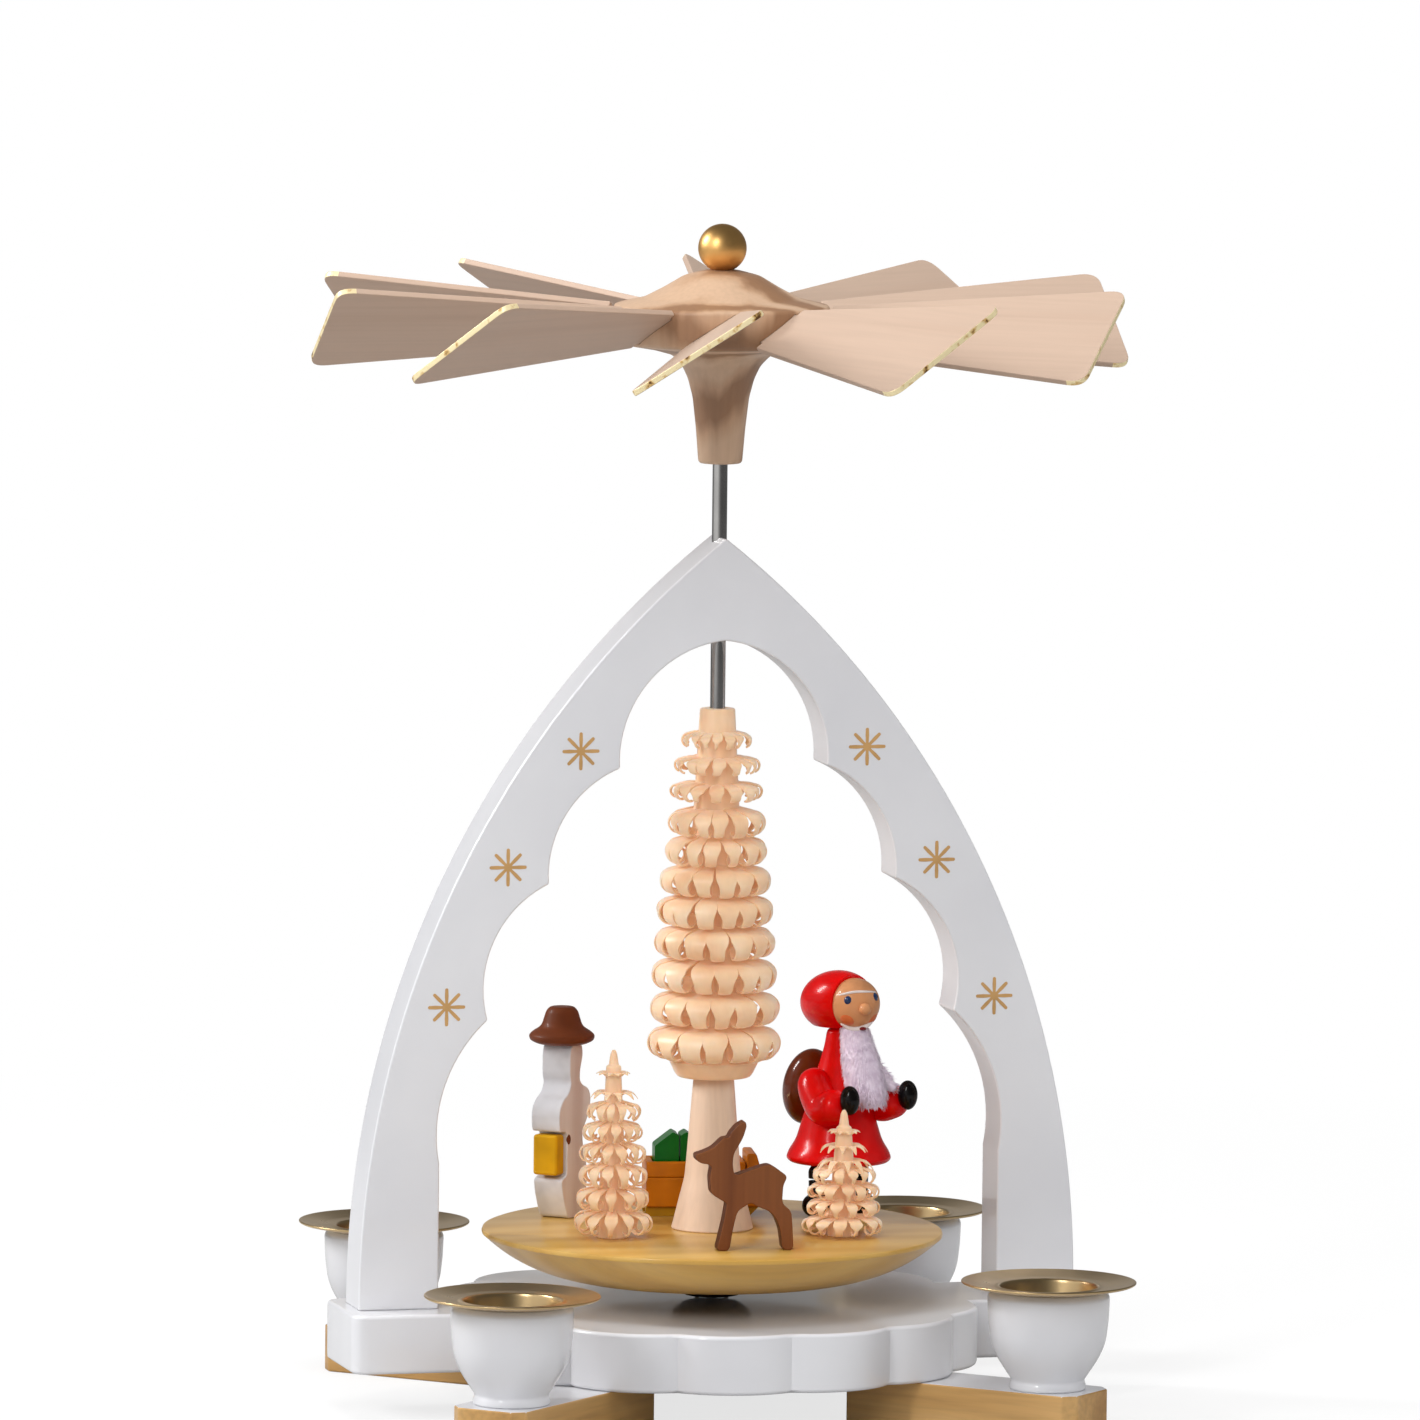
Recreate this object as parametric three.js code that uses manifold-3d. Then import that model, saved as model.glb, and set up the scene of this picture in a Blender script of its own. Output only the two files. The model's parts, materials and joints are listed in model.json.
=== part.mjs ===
// A wooden christmas pyramid: four candles drive a wheel of slanted wings, and the rod under it
// turns a disc with a curled tree and small figures inside a pointed arch.
// Millimetres, +Z up. The origin lies under the middle of the rod, where the legs stand.
import * as THREE from "three";
import { mergeVertices } from "three/addons/utils/BufferGeometryUtils.js";
import Module from "manifold-3d";

const wasm = await Module();
wasm.setup();

// Clearances
const fitGap = 0.3; // round a piece that sits in another one
const runningGap = 0.3; // round and under the turning rod

// Legs: blocks that point outwards between the arch and the front and back
const legHeight = 10.6;
const legWidth = 19;
const legInnerReach = 41;
const legOuterReach = 99.3;
const legChamfer = 2.6;

// Base plate: a scalloped disc with two tabs under the arch
const plateThickness = 13.4;
const plateCreaseRadius = 59;
const plateLobeRise = 4.4;
const plateLobesPerSide = 6;
const plateTurn = 3.2; // degrees that the creases are out of line with the tabs
const tabHalfWidth = 15;
const tabOverhang = 3; // how far a tab reaches past the arch
const tabCornerRadius = 3.6;

// Arch: two outer arcs that meet in a point, and an inside of lobes between cusps
const archHalfWidth = 84;
const archRise = 174.1;
const archThickness = 13;
const archSpringing = 2; // height of the arcs' centres over the plate
const archLegWidth = 18.5;
const archCrownDepth = 23.2;
const archCuspDrops = [51.9, 77.9, 108.6, 141.1]; // below the point of the arch
const archCuspBands = [23.7, 22.1, 20, 16.3]; // width of wood left beside each cusp
const archLobeRadii = [27.1, 25.8, 26.1, 34.8];
const tenonWidth = 10;
const tenonThickness = 6;
const tenonLength = 7;

// Rod, its bearing and its bush
const rodRadius = 1.7;
const rodPointLength = 3;
const bearingRadius = 4.2;
const bearingDepth = 6;
const bearingConeRadius = 2.6;
const bearingConeDepth = 2.4;
const bushWall = 1.1;
const bushTopInset = 4;

// Candle cups and the brass wells with drip trays
const cupInset = 11.6; // from the leg's end to the cup's middle
const cupHeight = 22.4;
const cupFootRadius = 8.7;
const cupWaistRadius = 8.1;
const cupWaistHeight = 2.2;
const cupBowlRadius = 11;
const cupBowlHeight = 7;
const cupBellyRadius = 13.1;
const cupBellyHeight = 11.4;
const cupRimRadius = 13.8;
const cupRimRound = 1.2;
const spigotRadius = 3.6;
const spigotLength = 7;
const wellWall = 0.6;
const wellTopRadius = 10.8;
const wellBottomRadius = 8.4;
const wellDepth = 12.4;
const trayRadius = 19.7;
const trayRise = 2;
const trayEdge = 0.7;

// Turntable
const turntableRunningHeight = 5; // plate to the flat underside
const turntableThickness = 11;
const turntableSideGap = 13; // rim to the arch
const turntableFlatInset = 24.5; // rim to the end of the flat underside
const turntableLip = 1.2;
const turntableBossRadius = 9;
const turntableBossDepth = 4.2;

// Big curled tree
const trunkHeight = 34.8;
const trunkFootRadius = 9.4;
const trunkTopRadius = 4.6;
const treeHeadroom = 15.9; // tree top to the inside of the arch
const treeTopLength = 5.4;
const treeTiers = 11;
const treeCurls = 10;
const treeTopTierRadius = 8;
const treeBottomTierRadius = 15.5;
const treeCoreTopRadius = 4;
const treeCoreBottomRadius = 8.2;
const treeSkirtRadius = 10.1;
const treeSkirtHeight = 3.4;

// Small curled trees: where they stand, as distance from the rim and bearing
const leftTreeInset = 24;
const leftTreeBearing = 202.7;
const leftTreeHeight = 42.8;
const leftTreeRadius = 9.5;
const leftTreeTopRadius = 3.9;
const leftTreeTiers = 8;
const leftTreeSpikyTiers = 2;
const leftTreeTipLength = 3.7;
const rightTreeInset = 21;
const rightTreeBearing = -34.4;
const rightTreeHeight = 28.8;
const rightTreeRadius = 9.3;
const rightTreeTopRadius = 3.9;
const rightTreeTiers = 7;
const rightTreeSpikyTiers = 3;
const rightTreeTipLength = 3.9;
const smallTreeCurls = 6;
const smallTreeCoreRadius = 2.3;
const smallTreeCoreTopRadius = 1.6;
const smallTreeTipRadius = 0.8;
const smallTreeFootHeight = 0.3;
const tierGrowth = 0.45; // how much deeper tiers get from the top down
const tierSpread = 0.62; // how quickly tiers widen from the top down
const shavingThickness = 0.7;
const shavingStart = 150; // direction in degrees from the roll's middle where a shaving joins it
const shavingRoll = 265; // degrees that a shaving turns over
const shavingSteps = 3;
const shavingTightening = 0.3; // share of the roll radius that is lost by its end
const shavingFill = 0.88; // share of the tier's circle that the shavings take
const shavingGap = 0.35; // between the rolls of neighbouring tiers

// Wheel
const hubOverArch = 16.6;
const hubNeckRadius = 4.95;
const hubNeckHeight = 24.3;
const hubSwellRadius = 8.7;
const hubSwellHeight = 3;
const hubFlangeRadius = 24.5;
const hubFlangeThickness = 8.6;
const hubDomeHeight = 8;
const hubDomeFlatRadius = 3.4;
const hubRodDepth = 30;
const bladeCount = 10;
const bladeTilt = 33;
const bladeTipReach = 92.5;
const bladeRootWidth = 15;
const bladeTipWidth = 35;
const bladeThickness = 1.4;
const bladeCornerRadius = 4;
const bladeTongueWidth = 11;
const bladeTongueLength = 5.5;
const ballRadius = 5.5;
const ballPegRadius = 1.5;
const ballPegLength = 4;

// Figures
const deerInset = 16.6;
const deerBearing = -94.5;
const deerLength = 22.6;
const deerHeight = 29.6;
const deerThickness = 4.2;
const santaInset = 14.9;
const santaBearing = 25.2;
const santaHemHeight = 12.4;
const santaHemRadius = 12.1;
const santaHemRound = 0.9;
const santaWaistHeight = 22.5;
const santaWaistRadius = 8.4;
const santaShoulderHeight = 35.5;
const santaShoulderRadius = 4.6;
const santaNeckHeight = 43.3;
const santaNeckRadius = 2.9;
const santaHeadRadius = 5.9;
const santaHeadReach = 4.9; // forward of the coat's axis
const santaHeadHeight = 49.3; // its middle
const santaHeadTurn = -22; // degrees, away from the rod
const santaNoseRadius = 1.45;
const santaNoseDrop = 0.5;
const santaHoodRadius = 7.1;
const santaHoodLength = 20.8;
const santaHoodReach = -1; // forward of the coat's axis
const santaHoodTilt = 8; // degrees that it leans back
const santaSleeveRadius = 4.1;
const santaArmRoot = [5.4, -2.4, 32.2];
const santaElbow = [8.2, 4.2, 25.8];
const santaWrist = [8.7, 11.8, 28.2];
const santaMittenRadius = 2.2;
const santaMittenHeight = 6.9;
const santaMittenDrop = 0.6; // below the line of the sleeve
const santaBeardTop = 44.4;
const santaBeardLength = 18.6;
const santaBeardRadius = 4.9;
const santaBeardReach = 4.8; // forward of the coat's axis at its top
const santaBeardSlope = 0.33; // how far it runs forward as it falls
const santaSackHeight = 28.6;
const santaSackLength = 18;
const santaSackWidth = 12.4;
const santaSackDepth = 11.5;
const santaSackReach = 10.8; // behind the coat's axis
const santaSackTilt = -14; // degrees that its top leans forward
const santaBootRadius = 2.8;
const santaBootLength = 9;
const santaBootSpread = 6.2;
const snowmanInset = 13.8;
const snowmanBearing = 138.6;
const snowmanThickness = 7.3;
const snowmanHeight = 39.8;
const snowmanDepth = 15.6;
const snowmanHatRadius = 7.7;
const snowmanHatHeight = 8.7;
const snowmanHatReach = -0.5; // forward of the body's middle
const packWidth = 6.2;
const packDepth = 3.9;
const packHeight = 9.4;
const sleighInset = 27.7;
const sleighBearing = 80.6;
const sleighRearLength = 13.5;
const sleighFrontLength = 14.8;
const sleighWidth = 12;
const sleighRunnerHeight = 2.2;
const sleighBoxHeight = 6.8;
const sleighRailHeight = 3.6;
const sleighRailWall = 1.8;
const sleighDashHeight = 14.5;
const sleighDashThickness = 2.2;
const sleighDashLean = 3;
const runnerThickness = 1.8;
const parcelWidth = 7;
const parcelLength = 5.6;
const parcelHeight = 10.2;
const parcelShoulder = 7; // height of its lower corner

// Places that follow from these sizes
const plateTop = legHeight + plateThickness;
const tabReach = archHalfWidth + tabOverhang;
const cupReach = legOuterReach - cupInset;
const archTop = plateTop + archRise;
const archInnerTop = archTop - archCrownDepth;
const archInnerHalfWidth = archHalfWidth - archLegWidth;
const turntableBottom = plateTop + turntableRunningHeight;
const turntableTop = turntableBottom + turntableThickness;
const turntableRadius = archInnerHalfWidth - turntableSideGap;
const trunkTop = turntableTop + trunkHeight;
const treeTop = archInnerTop - treeHeadroom;
const hubBottom = archTop + hubOverArch;
const hubSwellTop = hubBottom + hubNeckHeight;
const hubFlangeBottom = hubSwellTop + hubSwellHeight;
const hubFlangeTop = hubFlangeBottom + hubFlangeThickness;
const hubTop = hubFlangeTop + hubDomeHeight;
const bladeHeight = (hubFlangeBottom + hubFlangeTop) / 2;
const boreRadius = rodRadius + fitGap;
const bushRadius = rodRadius + runningGap + bushWall;

// Facets of round pieces
const fineSides = 32;
const roundSides = 20;
const smallSides = 12;
const cupSides = 16;
const limbSides = 8;

const degrees = Math.PI / 180;

// Finishes
const whitePaint = finish(0xf0eef0, 0.35);
const bronzeWood = finish(0xb8935c, 0.45);
const ochreWood = finish(0xcda15a, 0.4);
const paleWood = finish(0xe9d3bd, 0.6);
const shavedWood = finish(0xefcfa4, 0.65);
const brass = finish(0x8a7440, 0.25, 1);
const steel = finish(0x9a9a9c, 0.25, 1);
const gold = finish(0xd9b45a, 0.2, 1);
const brownPaint = finish(0x7a4527, 0.5);
const hatPaint = finish(0x6b321c, 0.4);
const whitewash = finish(0xc4bab2, 0.7);
const yellowPaint = finish(0xcf9c18, 0.4);
const orangePaint = finish(0xc06512, 0.4);
const greenPaint = finish(0x0a6a24, 0.4);
const redPaint = finish(0xc81414, 0.2);
const skinPaint = finish(0xd79b6c, 0.4);
const beardPlush = finish(0xd9cfe2, 0.9);
const sackPaint = finish(0x5e3415, 0.3);
const blackPaint = finish(0x161414, 0.3);

function finish(color, roughness, metalness = 0) {
  return new THREE.MeshStandardMaterial({ color, roughness, metalness });
}

// A closed geometry as a solid that can be joined and cut.
function solid(geometry) {
  const bare = new THREE.BufferGeometry();
  bare.setAttribute("position", geometry.getAttribute("position"));
  bare.setIndex(geometry.getIndex());
  const merged = mergeVertices(bare, 1e-4);
  return new wasm.Manifold(
    new wasm.Mesh({
      numProp: 3,
      vertProperties: new Float32Array(merged.attributes.position.array),
      triVerts: new Uint32Array(merged.index.array),
    }),
  );
}

// A joined or cut solid as a geometry.
function surface(body) {
  const mesh = body.getMesh();
  const geometry = new THREE.BufferGeometry();
  const places = new Float32Array(mesh.vertProperties);
  geometry.setAttribute("position", new THREE.BufferAttribute(places, 3));
  geometry.setIndex(new THREE.BufferAttribute(new Uint32Array(mesh.triVerts), 1));
  geometry.computeVertexNormals();
  return geometry;
}

function cut(geometry, ...tools) {
  return surface(tools.reduce((body, tool) => body.subtract(solid(tool)), solid(geometry)));
}

function join(geometry, ...others) {
  return surface(others.reduce((body, other) => body.add(solid(other)), solid(geometry)));
}

// A solid of revolution about Z from [radius, height] pairs.
function turned(profile, sides = roundSides) {
  const points = profile.map(([radius, height]) => new THREE.Vector2(radius, height));
  return new THREE.LatheGeometry(points, sides).rotateX(Math.PI / 2);
}

function cylinder(radius, bottom, top, sides = roundSides) {
  return turned([[0, bottom], [radius, bottom], [radius, top], [0, top]], sides);
}

function tube(inner, outer, bottom, top, sides = roundSides) {
  const profile = [[inner, bottom], [outer, bottom], [outer, top], [inner, top], [inner, bottom]];
  return turned(profile, sides);
}

function ball(radius, sides = smallSides) {
  return new THREE.SphereGeometry(radius, sides, Math.ceil(sides / 2)).rotateX(Math.PI / 2);
}

function block(width, depth, height) {
  return new THREE.BoxGeometry(width, depth, height);
}

// An outline in a level plane, raised between two heights.
function raised(outline, bottom, top) {
  const shape = new THREE.Shape(outline.map(([x, y]) => new THREE.Vector2(x, y)));
  return extruded(shape, top - bottom).translate(0, 0, bottom);
}

// An upright outline of [x, z] pairs, as thick as given and centred on y = 0.
function upright(outline, thickness) {
  const shape = new THREE.Shape(outline.map(([x, z]) => new THREE.Vector2(x, z)));
  return extruded(shape, thickness).rotateX(Math.PI / 2).translate(0, thickness / 2, 0);
}

function extruded(shape, depth) {
  return new THREE.ExtrudeGeometry(shape, { depth, bevelEnabled: false, curveSegments: 6 });
}

// Points of an arc from one point to another that bulges to the left of the way it goes.
function arc(from, to, radius, steps) {
  const chord = Math.hypot(to[0] - from[0], to[1] - from[1]);
  const half = Math.asin(Math.min(1, chord / 2 / radius));
  const along = [(to[0] - from[0]) / chord, (to[1] - from[1]) / chord];
  const left = [-along[1], along[0]];
  const middle = [(from[0] + to[0]) / 2, (from[1] + to[1]) / 2];
  const depth = radius * Math.cos(half);
  const points = [];
  for (let i = 0; i <= steps; i++) {
    const angle = half * (2 * i / steps - 1);
    const across = radius * Math.sin(angle);
    const out = radius * Math.cos(angle) - depth;
    points.push([
      middle[0] + along[0] * across + left[0] * out,
      middle[1] + along[1] * across + left[1] * out,
    ]);
  }
  return points;
}

const mirrored = (outline) => outline.map(([x, y]) => [-x, y]).reverse();

// A closed skin over rings of points that all have the same count.
function loft(rings) {
  const sides = rings[0].length;
  const last = (rings.length - 1) * sides;
  const index = [];
  for (let i = 0; i < rings.length - 1; i++) {
    for (let j = 0; j < sides; j++) {
      const a = i * sides + j;
      const b = i * sides + (j + 1) % sides;
      index.push(a, b, b + sides, a, b + sides, a + sides);
    }
  }
  for (let j = 1; j < sides - 1; j++) {
    index.push(0, j + 1, j, last, last + j, last + j + 1);
  }
  const geometry = new THREE.BufferGeometry();
  geometry.setAttribute("position", new THREE.Float32BufferAttribute(rings.flat(2), 3));
  geometry.setIndex(index);
  return geometry;
}

// A round limb along a curve through points.
function limb(points, radius) {
  const section = new THREE.Shape();
  section.absarc(0, 0, radius, 0, 2 * Math.PI);
  const path = new THREE.CatmullRomCurve3(points.map((p) => new THREE.Vector3(...p)));
  const bends = 2 * (points.length - 1);
  return new THREE.ExtrudeGeometry(section, {
    steps: bends,
    curveSegments: limbSides / 2,
    bevelEnabled: false,
    extrudePath: path,
  });
}

const pyramid = new THREE.Group();
const rotor = new THREE.Group();
pyramid.add(rotor);

function piece(name, geometry, material, parent = pyramid) {
  const mesh = new THREE.Mesh(geometry, material);
  mesh.name = name;
  parent.add(mesh);
  return mesh;
}

// The four corners, with the side of each leg, cup and tray.
const corners = { front_left: 225, front_right: 315, back_left: 135, back_right: 45 };

function makeLegs() {
  const half = legWidth / 2;
  const outline = [
    [legInnerReach, -half],
    [legOuterReach - legChamfer, -half],
    [legOuterReach, -half + legChamfer],
    [legOuterReach, half - legChamfer],
    [legOuterReach - legChamfer, half],
    [legInnerReach, half],
  ];
  const socketBottom = legHeight - spigotLength - fitGap;
  const socket = cylinder(spigotRadius + fitGap, socketBottom, legHeight + 1, smallSides);
  const leg = cut(raised(outline, 0, legHeight), socket.translate(cupReach, 0, 0));
  for (const [corner, bearing] of Object.entries(corners)) {
    piece(`leg_${corner}`, leg.clone().rotateZ(bearing * degrees), bronzeWood);
  }
}

function makeBasePlate() {
  const tabAngle = Math.asin(tabHalfWidth / plateCreaseRadius);
  const step = (Math.PI - 2 * tabAngle) / plateLobesPerSide;
  const crease = (angle) => [plateCreaseRadius * Math.cos(angle), plateCreaseRadius * Math.sin(angle)];
  const halfChord = plateCreaseRadius * Math.sin(step / 2);
  const lobeRadius = (halfChord ** 2 + plateLobeRise ** 2) / (2 * plateLobeRise);
  const backSide = [];
  for (let i = 0; i < plateLobesPerSide; i++) {
    const isFirst = i === 0;
    const isLast = i === plateLobesPerSide - 1;
    const start = tabAngle + i * step + (isFirst ? 0 : plateTurn * degrees);
    const end = tabAngle + (i + 1) * step + (isLast ? 0 : plateTurn * degrees);
    const lobe = arc(crease(end), crease(start), lobeRadius, 5).reverse();
    backSide.push(...lobe.slice(isFirst ? 0 : 1));
  }
  const tabCorner = [
    [tabReach - tabCornerRadius, tabHalfWidth],
    [tabReach - tabCornerRadius * 0.3, tabHalfWidth - tabCornerRadius * 0.3],
    [tabReach, tabHalfWidth - tabCornerRadius],
  ];
  const half = [...[...tabCorner].reverse(), ...backSide, ...tabCorner.map(([x, y]) => [-x, y])];
  const outline = [...half, ...half.map(([x, y]) => [-x, -y])];
  const pocketRadius = bearingRadius + fitGap;
  const pocket = cylinder(pocketRadius, plateTop - bearingDepth, plateTop + 1, smallSides);
  const mortise = block(tenonWidth + 2 * fitGap, tenonThickness + 2 * fitGap, tenonLength + fitGap + 1);
  const mortiseX = archHalfWidth - archLegWidth / 2;
  const mortiseZ = plateTop + (1 - tenonLength - fitGap) / 2;
  const mortises = [-1, 1].map((side) => mortise.clone().translate(side * mortiseX, 0, mortiseZ));
  piece("base_plate", cut(raised(outline, legHeight, plateTop), pocket, ...mortises), whitePaint);
}

function makeArch() {
  const outerCentre = ((archRise - archSpringing) ** 2 - archHalfWidth ** 2) / (2 * archHalfWidth);
  const outerRadius = outerCentre + archHalfWidth;
  const springing = plateTop + archSpringing;
  const outerX = (z) => Math.sqrt(outerRadius ** 2 - (z - springing) ** 2) - outerCentre;
  const outerSide = [
    [archHalfWidth, plateTop],
    ...arc([0, archTop], [archHalfWidth, springing], outerRadius, 16).reverse(),
  ];
  const cusps = archCuspDrops.map((drop, i) => {
    const z = archTop - drop;
    return [outerX(z) - archCuspBands[i], z];
  });
  const turns = [[0, archInnerTop], ...cusps];
  const innerSide = [];
  archLobeRadii.forEach((radius, i) => {
    innerSide.push(...arc(turns[i], turns[i + 1], radius, 8).slice(i ? 1 : 0));
  });
  innerSide.push([archInnerHalfWidth, cusps[cusps.length - 1][1] - 1]);
  innerSide.push([archInnerHalfWidth, plateTop]);
  const outline = [
    ...outerSide,
    ...mirrored(outerSide).slice(1),
    ...mirrored(innerSide),
    ...innerSide.slice(1),
  ];
  const tenonX = archHalfWidth - archLegWidth / 2;
  const tenon = block(tenonWidth, tenonThickness, tenonLength + 1);
  const tenonZ = plateTop + (1 - tenonLength) / 2;
  const tenons = [-1, 1].map((side) => tenon.clone().translate(side * tenonX, 0, tenonZ));
  const whole = join(upright(outline, archThickness), ...tenons);
  const bore = cylinder(bushRadius + fitGap, archInnerTop - 2, archTop + 2, smallSides);
  piece("arch", cut(whole, bore), whitePaint);
  const bushTop = archTop - bushTopInset;
  const bush = tube(rodRadius + runningGap, bushRadius, archInnerTop, bushTop, smallSides);
  piece("guide_bush", bush, brass);
}

// The cup's seat and bore, which the brass well follows.
const seatHeight = legHeight + cupHeight;
const wellOuterTop = wellTopRadius + wellWall;
const wellOuterBottom = wellBottomRadius + wellWall;

function makeCandleCups() {
  const boreBottom = seatHeight - wellDepth - wellWall - fitGap;
  const cup = turned([
    [0, legHeight - spigotLength],
    [spigotRadius, legHeight - spigotLength],
    [spigotRadius, legHeight],
    [cupFootRadius, legHeight],
    [cupWaistRadius, legHeight + cupWaistHeight],
    [cupBowlRadius, legHeight + cupBowlHeight],
    [cupBellyRadius, legHeight + cupBellyHeight],
    [cupRimRadius, seatHeight - cupRimRound],
    [cupRimRadius - cupRimRound, seatHeight],
    [wellOuterTop + fitGap, seatHeight],
    [wellOuterBottom + fitGap, boreBottom],
    [0, boreBottom],
  ], cupSides);
  for (const [corner, bearing] of Object.entries(corners)) {
    const angle = bearing * degrees;
    const mesh = piece(`candle_cup_${corner}`, cup, whitePaint);
    mesh.position.set(cupReach * Math.cos(angle), cupReach * Math.sin(angle), 0);
  }
}

function makeDripTrays() {
  const tray = turned([
    [0, seatHeight - wellDepth - wellWall],
    [wellOuterBottom, seatHeight - wellDepth - wellWall],
    [wellOuterTop, seatHeight],
    [cupRimRadius, seatHeight],
    [trayRadius, seatHeight + trayRise - trayEdge],
    [trayRadius, seatHeight + trayRise],
    [wellOuterTop, seatHeight + wellWall],
    [wellTopRadius, seatHeight + wellWall],
    [wellBottomRadius, seatHeight - wellDepth],
    [0, seatHeight - wellDepth],
  ]);
  for (const [corner, bearing] of Object.entries(corners)) {
    const angle = bearing * degrees;
    const mesh = piece(`drip_tray_${corner}`, tray, brass);
    mesh.position.set(cupReach * Math.cos(angle), cupReach * Math.sin(angle), 0);
  }
}

function makeRod() {
  const coneBottom = plateTop - bearingConeDepth;
  const cup = turned([
    [0, plateTop - bearingDepth],
    [bearingRadius, plateTop - bearingDepth],
    [bearingRadius, plateTop],
    [bearingConeRadius, plateTop],
    [0, coneBottom],
  ], smallSides);
  piece("bearing_cup", cup, brass);
  const tip = coneBottom + runningGap;
  const rod = turned([
    [0, tip],
    [rodRadius, tip + rodPointLength],
    [rodRadius, hubBottom + hubRodDepth],
    [0, hubBottom + hubRodDepth],
  ], smallSides);
  piece("spindle", rod, steel, rotor);
}

function makeTurntable() {
  const flatRadius = turntableRadius - turntableFlatInset;
  const lipBottom = turntableTop - turntableLip;
  const run = turntableFlatInset;
  const rise = lipBottom - turntableBottom;
  const bowlRadius = (run ** 2 + rise ** 2) / (2 * rise);
  const bowl = arc([turntableRadius, lipBottom], [flatRadius, turntableBottom], bowlRadius, 6);
  const profile = [
    [boreRadius, turntableBottom - turntableBossDepth],
    [turntableBossRadius * 0.7, turntableBottom - turntableBossDepth],
    [turntableBossRadius, turntableBottom - turntableBossDepth / 2],
    [turntableBossRadius, turntableBottom],
    ...bowl.reverse(),
    [turntableRadius - turntableLip / 2, turntableTop],
    [boreRadius, turntableTop],
    [boreRadius, turntableBottom - turntableBossDepth],
  ];
  piece("turntable", turned(profile, fineSides), ochreWood, rotor);
}

// One shaving that leaves the core, rolls outwards and down, and ends inside its own roll.
function shaving(bearing, core, reach, height, rollRadius, pitch) {
  const path = [[core - shavingThickness, height - rollRadius * 0.75, 0.6]];
  for (let i = 0; i <= shavingSteps; i++) {
    const angle = (shavingStart - shavingRoll * i / shavingSteps) * degrees;
    const radius = rollRadius * (1 - shavingTightening * i / shavingSteps);
    path.push([reach - rollRadius + radius * Math.cos(angle), height + radius * Math.sin(angle), 1]);
  }
  return ribbon(path, bearing, pitch);
}

// A short stiff shaving near the tip of a tree, which only stands out.
function spike(bearing, core, reach, height, rollRadius, pitch) {
  const path = [
    [core - shavingThickness, height - rollRadius * 0.4, 0.8],
    [(core + reach) / 2, height + rollRadius * 0.4, 0.7],
    [reach, height + rollRadius * 0.3, 0.15],
  ];
  return ribbon(path, bearing, pitch);
}

// A strip along a path of [distance from the axis, height, share of the full width], flat on the
// outside and with a ridge inside.
function ribbon(path, bearing, pitch) {
  const out = [Math.cos(bearing), Math.sin(bearing)];
  const side = [-out[1], out[0]];
  const rings = path.map(([r, z, share], i) => {
    const before = path[Math.max(0, i - 1)];
    const after = path[Math.min(path.length - 1, i + 1)];
    const length = Math.hypot(after[0] - before[0], after[1] - before[1]);
    const ridge = r + (after[1] - before[1]) / length * shavingThickness;
    const ridgeHeight = z - (after[0] - before[0]) / length * shavingThickness;
    const half = r * pitch * share;
    const edge = (s) => [r * out[0] + s * half * side[0], r * out[1] + s * half * side[1], z];
    return [edge(1), edge(-1), [ridge * out[0], ridge * out[1], ridgeHeight]];
  });
  return loft(rings);
}

// Tiers of shavings on a core: each is [outer radius, height of the middle of the roll, roll radius].
function shavedTree(core, coreRadius, tiers, curls, spikyTiers) {
  const pitch = Math.tan(Math.PI / curls) * shavingFill;
  const bodies = [solid(core)];
  tiers.forEach(([reach, height, rollRadius], tier) => {
    const shape = tier < spikyTiers ? spike : shaving;
    for (let i = 0; i < curls; i++) {
      const bearing = 2 * Math.PI * (i + (tier % 2) / 2) / curls;
      bodies.push(solid(shape(bearing, coreRadius(height), reach, height, rollRadius, pitch)));
    }
  });
  while (bodies.length > 1) bodies.push(bodies.shift().add(bodies.shift()));
  return surface(bodies[0]);
}

// Heights of tiers between a top and a bottom, each a little deeper than the one above.
function spreadTiers(top, bottom, count, topReach, bottomReach) {
  const growth = tierGrowth / count / 2;
  const share = (i) => (i + growth * i * i) / (count + growth * count * count);
  const tiers = [];
  for (let i = 0; i < count; i++) {
    const upper = top - (top - bottom) * share(i);
    const lower = top - (top - bottom) * share(i + 1);
    const widening = (i / (count - 1)) ** tierSpread;
    const reach = topReach + (bottomReach - topReach) * widening;
    tiers.push([reach, (upper + lower) / 2, (upper - lower) / 2 - shavingGap / 2]);
  }
  return tiers;
}

function makeTree() {
  const cone = [
    [boreRadius, turntableTop],
    [trunkFootRadius, turntableTop],
    [trunkTopRadius, trunkTop],
    [boreRadius, trunkTop],
    [boreRadius, turntableTop],
  ];
  piece("tree_trunk", turned(cone), paleWood, rotor);
  const skirtTop = trunkTop + treeSkirtHeight;
  const core = turned([
    [boreRadius, trunkTop],
    [treeSkirtRadius * 0.82, trunkTop],
    [treeSkirtRadius * 0.88, trunkTop + treeSkirtHeight * 0.26],
    [treeSkirtRadius, skirtTop],
    [treeCoreBottomRadius, skirtTop],
    [treeCoreTopRadius, treeTop],
    [boreRadius, treeTop],
    [boreRadius, trunkTop],
  ], treeCurls);
  const tiers = spreadTiers(
    treeTop - treeTopLength, skirtTop, treeTiers, treeTopTierRadius, treeBottomTierRadius,
  );
  const coreRadius = (z) => THREE.MathUtils.mapLinear(
    z, skirtTop, treeTop, treeCoreBottomRadius, treeCoreTopRadius,
  );
  piece("tree_crown", shavedTree(core, coreRadius, tiers, treeCurls, 0), shavedWood, rotor);
}

// A group that stands on the turntable and looks the way it travels: local +Y is forward,
// local +X is towards the rod.
function standing(inset, bearing) {
  const group = new THREE.Group();
  const reach = turntableRadius - inset;
  const angle = bearing * degrees;
  group.position.set(reach * Math.cos(angle), reach * Math.sin(angle), turntableTop);
  group.rotation.z = angle + Math.PI;
  rotor.add(group);
  return group;
}

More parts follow.
